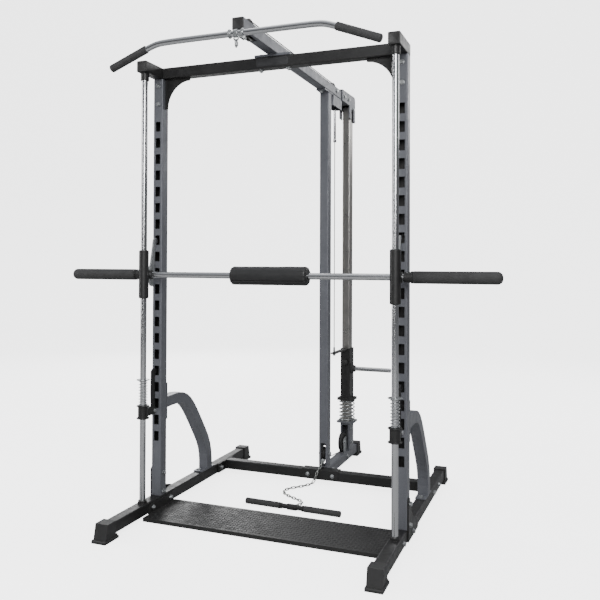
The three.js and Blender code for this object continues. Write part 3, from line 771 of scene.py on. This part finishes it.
def bar_swivel(centre):
    """The ring round the bar, its strap back to the cable, and the loop and snap link on it."""
    y, z = centre.y, centre.z
    cable_y = middle("cable_front").y
    bore = LAT_R + 0.2 * MM
    rings = Shape()
    for sign in (-1, 1):
        place = facing((sign * 27 * MM, y, z), sign * X)
        outside = mm([(15.5, -4), (16, -3), (16, 0), (18.5, 1), (18.5, 4), (17.5, 5)])
        rings.lathe([(bore, -4 * MM), *outside, (bore, 5 * MM), (bore, -4 * MM)], place, 40)
    rings.lathe(pipe_profile(16.8 * MM, bore, -8 * MM, 8 * MM, 1.2 * MM), facing(centre, X), 44)
    for dx in (-6.4, 3.2):
        rings.block((dx * MM, y + 14.5 * MM, z - 5 * MM), ((dx + 3.2) * MM, cable_y + 4 * MM, z + 5 * MM))
    rings.lathe(pin_profile(4 * MM, -9 * MM, 9 * MM), facing((0, cable_y - 3 * MM, z), X), 24)
    top = high("lat_clip").z
    rows = [(0, z - 4 * MM), (3 * MM, z - 4 * MM), (3 * MM, top - 8 * MM), (4.8 * MM, top - 7 * MM),
            (4.8 * MM, top - 0.8 * MM), (4 * MM, top), (0, top)]
    rings.lathe(rows, Matrix.Translation((0, cable_y, 0)), 24)
    clip = rings.piece("bar_swivel", "zinc", "pulldown_bar", bevel=0.4 * MM)
    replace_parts(clip, "lat_clip")
    hook, half = Shape(), 9.5 * MM
    hang_y, root = y - 2 * MM, z - 8 * MM
    turn = arc((0, hang_y, z - 19 * MM), X, Z, half, 0, -180, 16)
    hook.sweep([Vector((half, hang_y, root)), *turn, Vector((-half, hang_y, root))], 3.2 * MM, 14)
    hook.piece("swivel_loop", "zinc", "pulldown_bar", smooth=50)
    link = Shape()
    c = Vector((0, hang_y, z - 40 * MM))
    oval = [c + Y * (8 * MM * math.cos(a)) + Z * (15 * MM * math.sin(a)) for a in turns(32)]
    link.sweep(oval, 2.9 * MM, 14, loop=True)
    gate = mm([(0, -8), (4.2, -8), (4.8, -7), (4.8, 7), (4.2, 8), (0, 8)])
    link.lathe(gate, facing(c + 8 * MM * Y, Z), 22)
    link.piece("snap_link", "zinc", "pulldown_bar", smooth=50)


# ---------------------------------------------------------------- pulleys and cables
def pulleys():
    for name in ("front_pulley", "rear_pulley", "low_front_pulley", "low_rear_pulley"):
        lo, hi = low(name), high(name)
        centre, r, half = (lo + hi) / 2, (hi.z - lo.z) / 2, (hi.x - lo.x) / 2
        place = facing(centre, X, Z)
        groove = r - 7 * MM if name.startswith(("front", "rear")) else r - 6 * MM
        hub, web = 12 * MM, half - 3 * MM
        rim = groove - 5 * MM
        bore = 5.3 * MM
        upper = [(groove, 0.9 * MM), (groove + 0.6 * MM, 2.4 * MM), (groove + 2.4 * MM, 3.4 * MM),
                 (r, half - 2.6 * MM), (r, half - 1.2 * MM), (r - 1.2 * MM, half), (rim + 2 * MM, half),
                 (rim + 1.5 * MM, half - MM), (rim, web), (hub + 1.5 * MM, web), (hub + MM, half - MM),
                 (hub, half), (bore, half)]
        lower = [(radius, -height) for radius, height in reversed(upper)]
        rows = [*lower, *upper, (bore, -half)]
        shape = Shape().lathe(rows, place, 64)
        mid = (hub + rim) / 2
        for a in turns(6):
            spin = place @ Matrix.Rotation(a, 4, "Z") @ Matrix.Translation((mid, 0, -half + 0.8 * MM))
            w, d = (rim - hub) / 2 + 1.5 * MM, 1.3 * MM
            shape.prism([(-w, -d), (w, -d), (w, d), (-w, d)], spin, 2 * half - 1.6 * MM)
        part = shape.piece(f"{name}_wheel", "plastic", name)
        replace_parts(part, name)
        bearing = Shape()
        for s in (-1, 1):
            out = facing(centre + s * (half - 0.4 * MM) * X, s * X)
            bearing.lathe(mm([(5.4, 0), (8.4, 0), (8.4, 0.9), (5.4, 0.9), (5.4, 0)]), out, 32)
        bearing.piece(f"{name}_bearing", "zinc", name)


OUTLET_Z = 109.5 * MM  # height of the low cable's end


def wrapped(node, radius, start, end, steps=24):
    """The cable's line round a pulley, from one angle to another."""
    c = middle(node)
    return arc((0, c.y, c.z), Y, Z, radius, start, end, steps)


def cables():
    r = (high("cable_rear").x - low("cable_rear").x) / 2
    front_y, rear_y = middle("cable_front").y, middle("cable_rear").y
    reach = middle("front_pulley").y - front_y
    drop_z = high("cable_front").z
    run = [*wrapped("front_pulley", reach, 181, 90), *wrapped("rear_pulley", reach, 90, -1)]
    ends = (Vector((0, front_y, drop_z + 0.2 * MM)), Vector((0, rear_y, drop_z + 0.2 * MM)))
    over = Shape().sweep([ends[0], *run[1:-1], ends[1]], r, 14)
    part = over.piece("top_cable", "plastic", "frame", smooth=60)
    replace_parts(part, "cable_top")
    for node, body in (("cable_front", "pulldown_bar"), ("cable_rear", "weight_carriage")):
        c, lo_z = middle(node), low(node).z
        stretch = Shape().sweep([(0, c.y, drop_z), (0, c.y, lo_z)], r, 14)
        line = stretch.piece(f"{node}_fall", "plastic", None, smooth=60)
        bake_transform(line)
        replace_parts(line, node)
    low_run = [(0, low("cable_low").y, OUTLET_Z), *wrapped("low_front_pulley", 33.7 * MM, 250, 290, 8),
               (0, middle("low_front_pulley").y + 132 * MM, 97 * MM),
               *wrapped("low_rear_pulley", 50.7 * MM, 258, 318, 12)]
    back = middle("low_rear_pulley").y
    low_run += [(0, back + d * MM, z * MM) for d, z in ((58, 132), (74, 160), (82, 200), (84, 278))]
    under = Shape().sweep(smooth_curve(low_run, 3), r, 14)
    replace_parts(under.piece("low_cable", "plastic", "frame", smooth=60), "cable_low")


def cable_fittings():
    """The swaged ends and the guide tube on the rear fall."""
    rear_y, tab = middle("cable_rear").y, high("carriage").z
    shape = Shape()
    sleeve = mm([(2.5, 0), (5, 0), (5.6, 0.8), (5.6, 26), (4.4, 29), (2.5, 29), (2.5, 0)])
    shape.lathe(sleeve, Matrix.Translation((0, rear_y, tab + MM)), 28)
    hex_nut(shape, (0, rear_y, tab - 6.2 * MM), -Z, 14 * MM, 7 * MM)
    shape.piece("rear_cable_end", "zinc", "weight_carriage")
    swage = mm([(2.5, 0.5), (4.2, 0.5), (4.6, 1), (4.6, 12), (3.4, 14), (2.5, 14), (2.5, 0.5)])
    foot = (0, middle("cable_front").y, high("lat_clip").z)
    front = Shape().lathe(swage, Matrix.Translation(foot), 28)
    front.piece("front_cable_end", "zinc", "pulldown_bar")
    guide = Shape()
    base = Matrix.Translation((0, rear_y, 1.84))
    length = 172
    guide.lathe(mm([(3.2, 0), (6.6, 0), (7, 1), (7, length), (3.2, length), (3.2, 0)]), base, 32)
    guide.lathe(mm([(3.2, -8), (9, -8), (9.5, -7), (9.5, 6), (7, 8), (3.2, 8), (3.2, -8)]), base, 32)
    guide.piece("cable_guide_tube", "chrome", "frame")


# ---------------------------------------------------------------- the chain and the row bar
CHAIN_ROUTE = [  # from the low cable to the row bar, in millimetres, Y from the uprights' front face
    (0, 693, 107), (-1, 684, 99), (-3, 673, 87), (-5, 661, 79.5), (-9, 647, 71), (-14, 641, 54),
    (-19, 639, 36), (-25, 635, 19), (-34, 622, 7.2), (-47, 596, 7), (-62, 570, 7), (-84, 544, 7),
    (-106, 519, 7), (-121, 490, 7), (-122, 456, 7), (-106, 426, 7), (-78, 403, 7), (-46, 383, 7),
    (-15, 366, 7), (13, 348, 7), (26, 325, 7), (22, 300, 7.5), (13, 282, 9.5), (10.5, 268, 12),
]


def walk(points, step):
    """Points a fixed step apart along a line."""
    made, travelled, target = [], 0.0, 0.0
    for a, b in zip(points, points[1:]):
        length = (b - a).length
        while length and travelled + length >= target:
            made.append(a.lerp(b, (target - travelled) / length))
            target += step
        travelled += length
    return made


def chain():
    """Links along the route, each turned a quarter turn to the next."""
    route = smooth_curve([(x * MM, y * MM + FRONT, z * MM) for x, y, z in CHAIN_ROUTE], 8)
    total = sum((b - a).length for a, b in zip(route, route[1:]))
    wire, wide = 2.3 * MM, 10 * MM
    count = round(total / (22 * MM))
    pitch = (total - 2 * wire) / count
    shape = Shape()
    spots = [*walk(route, pitch), route[-1]]
    for i in range(count):
        a, b = spots[i], spots[i + 1]
        centre, along = (a + b) / 2, (b - a).normalized()
        flat = along.cross(Z)
        flat = flat.normalized() if flat.length > 0.2 else X.copy()
        up = flat.cross(along)
        lean = math.radians(45 if i % 2 else -45)
        across = flat * math.cos(lean) + up * math.sin(lean)
        straight = (pitch + 2 * wire - wide) / 2
        r = wide / 2
        loop = []
        for t in turns(20):
            u = math.cos(t) * r + (straight if math.cos(t) > 0 else -straight)
            loop.append(centre + along * u + across * (math.sin(t) * r))
        shape.sweep(loop, wire, 8, loop=True)
    links = shape.piece("steel_chain", "chain_steel", None, smooth=60)
    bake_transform(links)
    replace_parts(links, "chain")


def row_bar():
    tilt = -0.033
    centre = Vector((10 * MM, FRONT + 235 * MM, 15 * MM))
    along = Vector((math.cos(tilt), math.sin(tilt), 0))
    place = facing(centre, along, Z)
    half = 240 * MM
    core = Shape().lathe(pin_profile(11 * MM, -half + 6 * MM, half - 6 * MM), place, 40)
    core.lathe(pipe_profile(14 * MM, 11.2 * MM, -23 * MM, 23 * MM, MM), place, 40)
    for s in (-1, 1):
        rows = mm([(11.2, 52 * s), (13.6, 52 * s), (13.6, 58 * s), (11.2, 58 * s), (11.2, 52 * s)])
        core.lathe(rows, place, 36)
    bar = core.piece("row_handle", "black_paint", "row_bar")
    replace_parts(bar, "row_bar")
    for name, s in SIDES.items():
        end = facing(centre + along * (s * 62 * MM), along * s, Z)
        reach = half - 62 * MM
        big, dip, bore, count = 14.5 * MM, 13.7 * MM, 11.2 * MM, 20
        rows = [(bore, 0), (big - MM, 0), (big, MM)]
        for k in range(count):
            x = 9 * MM + k * (reach - 20 * MM) / count
            rows += [(big, x), (dip, x + 1.2 * MM), (dip, x + 3.4 * MM), (big, x + 4.6 * MM)]
        rows += [(big, reach - 3 * MM), (12 * MM, reach), (0, reach), (0, reach - 4 * MM),
                 (bore, reach - 4 * MM), (bore, 0)]
        grip = Shape().lathe(rows, end, 44)
        grip.piece(f"row_grip_{name}", "rubber", "row_bar", smooth=50)
    back = Vector((-along.y, along.x, 0))
    eye = Shape()
    hub = centre + back * 20 * MM
    circle = [hub + back * (8 * MM * math.cos(a)) + along * (8 * MM * math.sin(a)) for a in turns(28)]
    eye.sweep(circle, 2.8 * MM, 12, loop=True)
    eye.piece("row_eye", "zinc", "row_bar", smooth=50)


def low_outlet():
    """The ball stop and shackle between the low cable and the chain."""
    c = Vector((0, low("cable_low").y, OUTLET_Z))
    rows = mm([(0, -11), (6, -9.5), (9.6, -5), (11, 0), (9.6, 5), (6, 9.5), (0, 11)])
    ball = Shape().lathe(rows, facing(c + 5 * MM * Y, Y), 36)
    ball.piece("cable_ball", "zinc", "frame", smooth=60)
    bow = Shape()
    start = c - 3 * MM * Y
    side = 6.5 * MM
    turn = [start - Y * (9 * MM + 6.5 * MM * math.sin(a)) - Z * (2 * MM + 3 * MM * math.sin(a))
            + X * (side * math.cos(a)) for a in [math.pi * k / 12 for k in range(13)]]
    bow.sweep([start + X * side, *turn, start - X * side], 2.2 * MM, 12)
    for s in (-1, 1):
        bow.lathe(pin_profile(4.4 * MM, -3 * MM, 3 * MM), facing(start + X * (s * side), X), 20)
    bow.sweep([start - X * (side + 5 * MM), start + X * (side + 6 * MM)], 2 * MM, 12)
    bow.piece("cable_shackle", "zinc", "frame", smooth=50)


# ---------------------------------------------------------------- the weight carriage
def weight_carriage():
    lo, hi = low("plate_peg"), high("plate_peg")
    centre = (lo + hi) / 2
    r, half = (hi.z - lo.z) / 2, (hi.x - lo.x) / 2
    place = facing(centre, X, Z)
    rows = [(0, -half), (r, -half), (r, half - 2 * MM), (r - 2 * MM, half), (0, half)]
    peg = Shape().lathe(rows, place, 48)
    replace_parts(peg.piece("weight_peg", "chrome", "weight_carriage"), "plate_peg")
    lo, hi = low("peg_collar"), high("peg_collar")
    big, width = (hi.z - lo.z) / 2, hi.x - lo.x
    bore = r + 0.6 * MM
    rows = [(bore, 0), (big, 0), (big, 5 * MM), (big - MM, 6 * MM), (21 * MM, 7 * MM),
            (19 * MM, width - 2 * MM), (17 * MM, width), (bore, width), (bore, 0)]
    stop = Shape().lathe(rows, facing((lo.x, centre.y, centre.z), X), 48)
    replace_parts(stop.piece("peg_stop", "rubber", "weight_carriage"), "peg_collar")


def lock_knob():
    """The round knob with nine shallow lobes."""
    lo, hi = low("carriage_knob"), high("carriage_knob")
    c, depth = (lo + hi) / 2, hi.y - lo.y
    rim = (hi.z - lo.z) / 2
    knob = Shape()
    rings = []
    rows = [(rim * 0.6, 0), (rim * 0.66, 3 * MM), (rim, 6 * MM), (rim, depth - 5 * MM),
            (rim * 0.8, depth - MM), (rim * 0.55, depth)]
    out = facing((c.x, hi.y, c.z), -Y)
    for radius, height in rows:
        depth_of_lobe = 0.9 * MM if radius > rim * 0.9 else 0
        ring = []
        for a in turns(72):
            lobe = radius - depth_of_lobe * (0.5 + 0.5 * math.cos(9 * a))
            ring.append(out @ Vector((lobe * math.cos(a), lobe * math.sin(a), height)))
        rings.append(ring)
    knob.surface(rings)
    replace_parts(knob.piece("lock_knob", "plastic", "weight_carriage"), "carriage_knob")


def bumper_spring():
    lo, hi = low("bumper_spring"), high("bumper_spring")
    c = (lo + hi) / 2
    wire = 3.6 * MM
    radius = (hi.x - lo.x) / 2 - wire
    line = coil(c.x, c.y, lo.z + wire, hi.z - wire, radius, 6.5, wire)
    shape = Shape().sweep(line, wire, 14)
    part = shape.piece("buffer_coil", "zinc", "frame", smooth=60)
    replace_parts(part, "bumper_spring")
    seat = Matrix.Translation((c.x, c.y, high("column_post").z))
    cup = Shape().lathe(mm([(34, 0.1), (50, 0.1), (50, 2.2), (34, 2.2), (34, 0.1)]), seat, 48)
    cup.piece("spring_seat_washer", "zinc", "frame")


# ---------------------------------------------------------------- bolts, welds and small parts
def frame_bolts():
    shape = Shape()
    rail_mid = 40 * MM
    for side, sign in SIDES.items():
        lo, hi = low(f"upright_{side}"), high(f"upright_{side}")
        x = (lo.x + hi.x) / 2
        outer = sign * max(abs(lo.x), abs(hi.x))
        inner = sign * min(abs(lo.x), abs(hi.x))
        gusset = sign * max(abs(low(f"gusset_{side}").x), abs(high(f"gusset_{side}").x))
        for z in (1985, 1900):
            hex_bolt(shape, (x, lo.y, z * MM), -Y)
        for z in (172, 86):
            hex_bolt(shape, (gusset, lo.y + 25 * MM, z * MM), sign * X)
            hex_nut(shape, (inner, lo.y + 25 * MM, z * MM), -sign * X)
        hex_bolt(shape, (gusset, lo.y + 88 * MM, rail_mid), sign * X)
        hex_nut(shape, (inner, lo.y + 88 * MM, rail_mid), -sign * X)
        hex_bolt(shape, (outer, lo.y - 64 * MM, rail_mid), sign * X)
        for y in (-64, 84):
            spot = Vector((inner - sign * 3.4 * MM, lo.y + y * MM, rail_mid))
            hex_nut(shape, spot, -sign * X, 15 * MM, 6 * MM)
        for y in (600, 730):
            hex_bolt(shape, (outer, FRONT + y * MM, 45 * MM), sign * X)
            hex_nut(shape, (inner - sign * 6.3 * MM, FRONT + y * MM, 45 * MM), -sign * X)
        brace_lo = low(f"brace_{side}")
        for z in (434, 573):
            hex_nut(shape, (x, lo.y + 56.3 * MM, z * MM), Y, 15 * MM, 6 * MM)
        for y in (410, 516):
            hex_bolt(shape, (x, FRONT + y * MM, brace_lo.z + 6 * MM), Z)
    centre_y = FRONT + 25 * MM
    beam_hi = high("top_beam").z
    for x in (-62, 70):
        hex_nut(shape, (x * MM, centre_y, ARM_UNDER), -Z)
        hex_bolt(shape, (x * MM, centre_y, BEAM_UNDER + 8.5 * MM), Z, 15 * MM, 6 * MM, 10 * MM)
    for y in (665, 772):
        hex_nut(shape, (0, FRONT + y * MM, BEAM_UNDER), -Z, 15 * MM, 6 * MM)
        hex_bolt(shape, (0, FRONT + y * MM, beam_hi), Z, 15 * MM, 5 * MM)
    bracket = high("column_bracket").x
    for y, z in ((965, 2102), (1045, 2102), (1132, 2062)):
        bolt_pair(shape, bracket, FRONT + y * MM, z * MM, 16 * MM, 6.5 * MM)
    for y in (786, 1060):
        bolt_pair(shape, high("base_beam").x, FRONT + y * MM, 45 * MM)
    for z in (110, 190):
        bolt_pair(shape, 28 * MM, middle("guide_column").y, z * MM, 15 * MM, 6 * MM)
    shape.piece("frame_bolts", "zinc", "frame")


def tube_shade_sheets():
    """Black sheets inside the uprights, seen through their slots: painted shade for the shadowed inside of
    the tubes.
    """
    gap, sheet, bottom, top = 0.4 * MM, 0.8 * MM, 300 * MM, 1840 * MM
    wall = 3 * MM
    for side in SIDES:
        lo, hi = low(f"upright_{side}"), high(f"upright_{side}")
        left, right = lo.x + wall + gap, hi.x - wall - gap
        front, back = lo.y + wall + gap, lo.y + (hi.x - lo.x) - wall - gap
        outline = [(left, front), (left + sheet, front), (left + sheet, back - sheet),
                   (right - sheet, back - sheet), (right - sheet, front), (right, front), (right, back),
                   (left, back)]
        shape = Shape().prism(outline, Matrix.Translation((0, 0, bottom)), top - bottom)
        # painted shade: a black sheet where the inside of the tube lies in shadow
        shape.piece(f"lining_{side}", "black_paint", "frame")


def axle_bolts():
    shape = Shape()
    for name, half, across, washer in (("front_pulley", 25, 19, 12), ("rear_pulley", 25, 19, 12),
                                       ("low_front_pulley", 25, 19, 12), ("low_rear_pulley", 14, 17, 11)):
        c = middle(name)
        bolt_pair(shape, half * MM, c.y, c.z, across * MM, 6 * MM, washer * MM)
    shape.piece("axle_bolts", "zinc", "frame")


def ring_weld(shape, x0, x1, y0, y1, z):
    """A bead round a rectangle that lies flat at height z."""
    points = [(x0, y0, z), (x1, y0, z), (x1, y1, z), (x0, y1, z), (x0, y0, z)]
    weld_bead(shape, points)


def welds():
    black, grey = Shape(), Shape()
    for side, sign in SIDES.items():
        rod = RODS[side]
        for z, radius, steps in ((POST_FOOT, 20.6 * MM, 36), (ARM_UNDER - 0.5 * MM, 19.6 * MM, 30)):
            weld_bead(black, arc((rod.x, rod.y, z), X, Y, radius, 0, 360, steps), 1.9 * MM)
        x0, x1, z = rod.x - 24 * MM, rod.x + 24 * MM, 76.8 * MM
        for y in (418, 498):
            weld_bead(grey, [(x0, FRONT + y * MM, z), (x1, FRONT + y * MM, z)], 2.4 * MM)
        inner = sign * (abs(rod.x) - 31.6 * MM)
        y0, y1 = low("crossmember").y + 89 * MM, low("crossmember").y + 141 * MM
        z0, z1 = 21 * MM, 69.5 * MM
        corners = ((y0, z0), (y1, z0), (y1, z1), (y0, z1), (y0, z0))
        weld_bead(black, [(inner, y, z) for y, z in corners])
        for y in (20.6, 29.4):
            x0, x1, z = sign * 450 * MM, sign * 552 * MM, ARM_UNDER - 0.5 * MM
            weld_bead(black, [(x0, FRONT + y * MM, z), (x1, FRONT + y * MM, z)], 1.6 * MM)
    half = 25 * MM
    for z in (BEAM_UNDER - 0.6 * MM, POST_FOOT):
        ring_weld(grey, -half, half, FRONT + 706 * MM, FRONT + 756.6 * MM, z)
    c = middle("guide_column")
    for z in (POST_FOOT, high("column_post").z - 8.6 * MM):
        ring_weld(grey, -28 * MM, 28 * MM, c.y - 38.5 * MM, c.y + 38.5 * MM, z)
    ring_weld(grey, -half, half, FRONT + 790 * MM, FRONT + 940 * MM, BEAM_UNDER + 7.5 * MM)
    black.piece("black_welds", "black_paint", "frame", smooth=80)
    grey.piece("grey_welds", "grey_paint", "frame", smooth=80)


def cap(shape, centre, out, width, height, lip=2.2 * MM, round_by=4 * MM):
    """A plate with round corners and a skirt that goes into the tube behind it."""
    place = facing(centre, out, Z)
    w, h = width / 2, height / 2
    edge = []
    for x, y, start in ((1, 1, 0), (-1, 1, 90), (-1, -1, 180), (1, -1, 270)):
        for k in range(5):
            a = math.radians(start + k * 22.5)
            edge.append((x * (w - round_by) + round_by * math.cos(a),
                         y * (h - round_by) + round_by * math.sin(a)))
    rows = [(3.4 * MM, -12 * MM), (3.4 * MM, 0), (0, 0), (0, lip * 0.6), (1.6 * MM, lip), (6 * MM, lip),
            (7 * MM, lip - 0.6 * MM)]
    shape.surface([[place @ Vector((x * (1 - inset / w), y * (1 - inset / h), z)) for x, y in edge]
                   for inset, z in rows])


def plugs():
    """Plastic plugs in the open ends of the tubes."""
    shape = Shape()
    for side in SIDES:
        arm = middle(f"top_arm_{side}")
        for y, out in ((low(f"top_arm_{side}").y, -Y), (FRONT + 50 * MM, Y)):
            cap(shape, (arm.x, y, ARM_MID), out, 49 * MM, 49 * MM)
    cap(shape, (0, FRONT - 341 * MM, BEAM_UNDER + 33 * MM), -Y, 50 * MM, 50 * MM, 3 * MM)
    shape.piece("tube_plugs", "plastic", "frame", smooth=40)
    wheel, back = high("low_front_pulley").z, FRONT + 756 * MM
    plug = Shape().block((-12.7 * MM, back - 6 * MM, wheel + 2 * MM), (12.7 * MM, back, 199.6 * MM))
    plug.piece("slot_plug", "plastic", "frame", bevel=0.8 * MM)


def saddle_bracket():
    """The folded plate that ties the tower's beam to the crossmember."""
    outline = mm([(651.8, 26), (655.7, 26), (655.7, 70.2), (705.6, 70.2), (705.6, 74.4), (651.8, 74.4)])
    shape = Shape().surface([[Vector((x, FRONT + y, z)) for y, z in outline]
                             for x in (-100 * MM, 100 * MM)])
    shape.piece("saddle_bracket", "black_paint", "frame", bevel=1.2 * MM)
    heads = Shape()
    rows = mm([(0, 0), (11, 0), (11, 1.6), (9, 1.8), (9, 2.2), (8, 4.8), (5, 6.6), (0, 7.2)])
    for x in (-68, 68):
        heads.lathe(rows, facing((x * MM, FRONT + outline[0][0], 47 * MM), -Y), 36)
    heads.piece("saddle_bolts", "zinc", "frame", smooth=45)


def badge_plate():
    """A blank plate in the middle of the crossbar."""
    shape = Shape()
    cap(shape, (0, FRONT, ARM_MID), -Y, 150 * MM, 34 * MM, 1.2 * MM, 6 * MM)
    shape.piece("blank_badge", "dark_grey", "frame")


def tread_pattern():
    """Raised lens-shaped bars, each turned across its neighbour."""
    lo, hi = low("tread_plate"), high("tread_plate")
    top = 18 * MM
    y0, y1 = FRONT - 146 * MM, FRONT + 125 * MM
    pitch, length, width, rise = 15.2 * MM, 20 * MM, 5.2 * MM, 1.1 * MM
    shape = Shape()
    columns = int((hi.x - lo.x - 24 * MM) / pitch)
    rows = int((y1 - y0 - 14 * MM) / pitch)
    for i in range(columns):
        for j in range(rows):
            x = (i - (columns - 1) / 2) * pitch
            y = (y0 + y1) / 2 + (j - (rows - 1) / 2) * pitch
            lean = math.radians(45 if (i + j) % 2 else -45)
            along = Vector((math.cos(lean), math.sin(lean), 0))
            side = Vector((-along.y, along.x, 0))
            centre = Vector((x, y, top))
            tips = [centre - along * (length / 2), centre + along * (length / 2)]
            edge = [centre + along * (u * length / 2) + side * (s * width / 2 * (1 - u * u))
                    for s, us in ((-1, (-0.6, 0, 0.6)), (1, (0.6, 0, -0.6))) for u in us]
            base = [tips[0], *edge[:3], tips[1], *edge[3:]]
            crown = [centre + (p - centre) * 0.55 + Z * rise for p in base]
            start = len(shape.verts)
            shape.verts += [p - Z * 0.2 * MM for p in base] + crown
            shape.faces += [[start + k, start + (k + 1) % 8, start + 8 + (k + 1) % 8, start + 8 + k]
                            for k in range(8)]
            shape.faces += [[start + 8 + k for k in range(8)], [start + k for k in range(8)][::-1]]
    shape.piece("tread_pattern", "tread", "frame", smooth=20)


def main():
    random.seed(7)
    camera()
    chain()
    world()
    lights()
    studio_sweep()
    dress_kept_nodes()
    for build in (guide_rods, smith_bar, bar_pad, housings, safety_stops, pulldown_bar, pulleys, cables,
                  cable_fittings, row_bar, low_outlet, weight_carriage, lock_knob, bumper_spring, frame_bolts,
                  tube_shade_sheets, axle_bolts, welds, plugs, saddle_bracket, badge_plate, tread_pattern):
        build()


main()
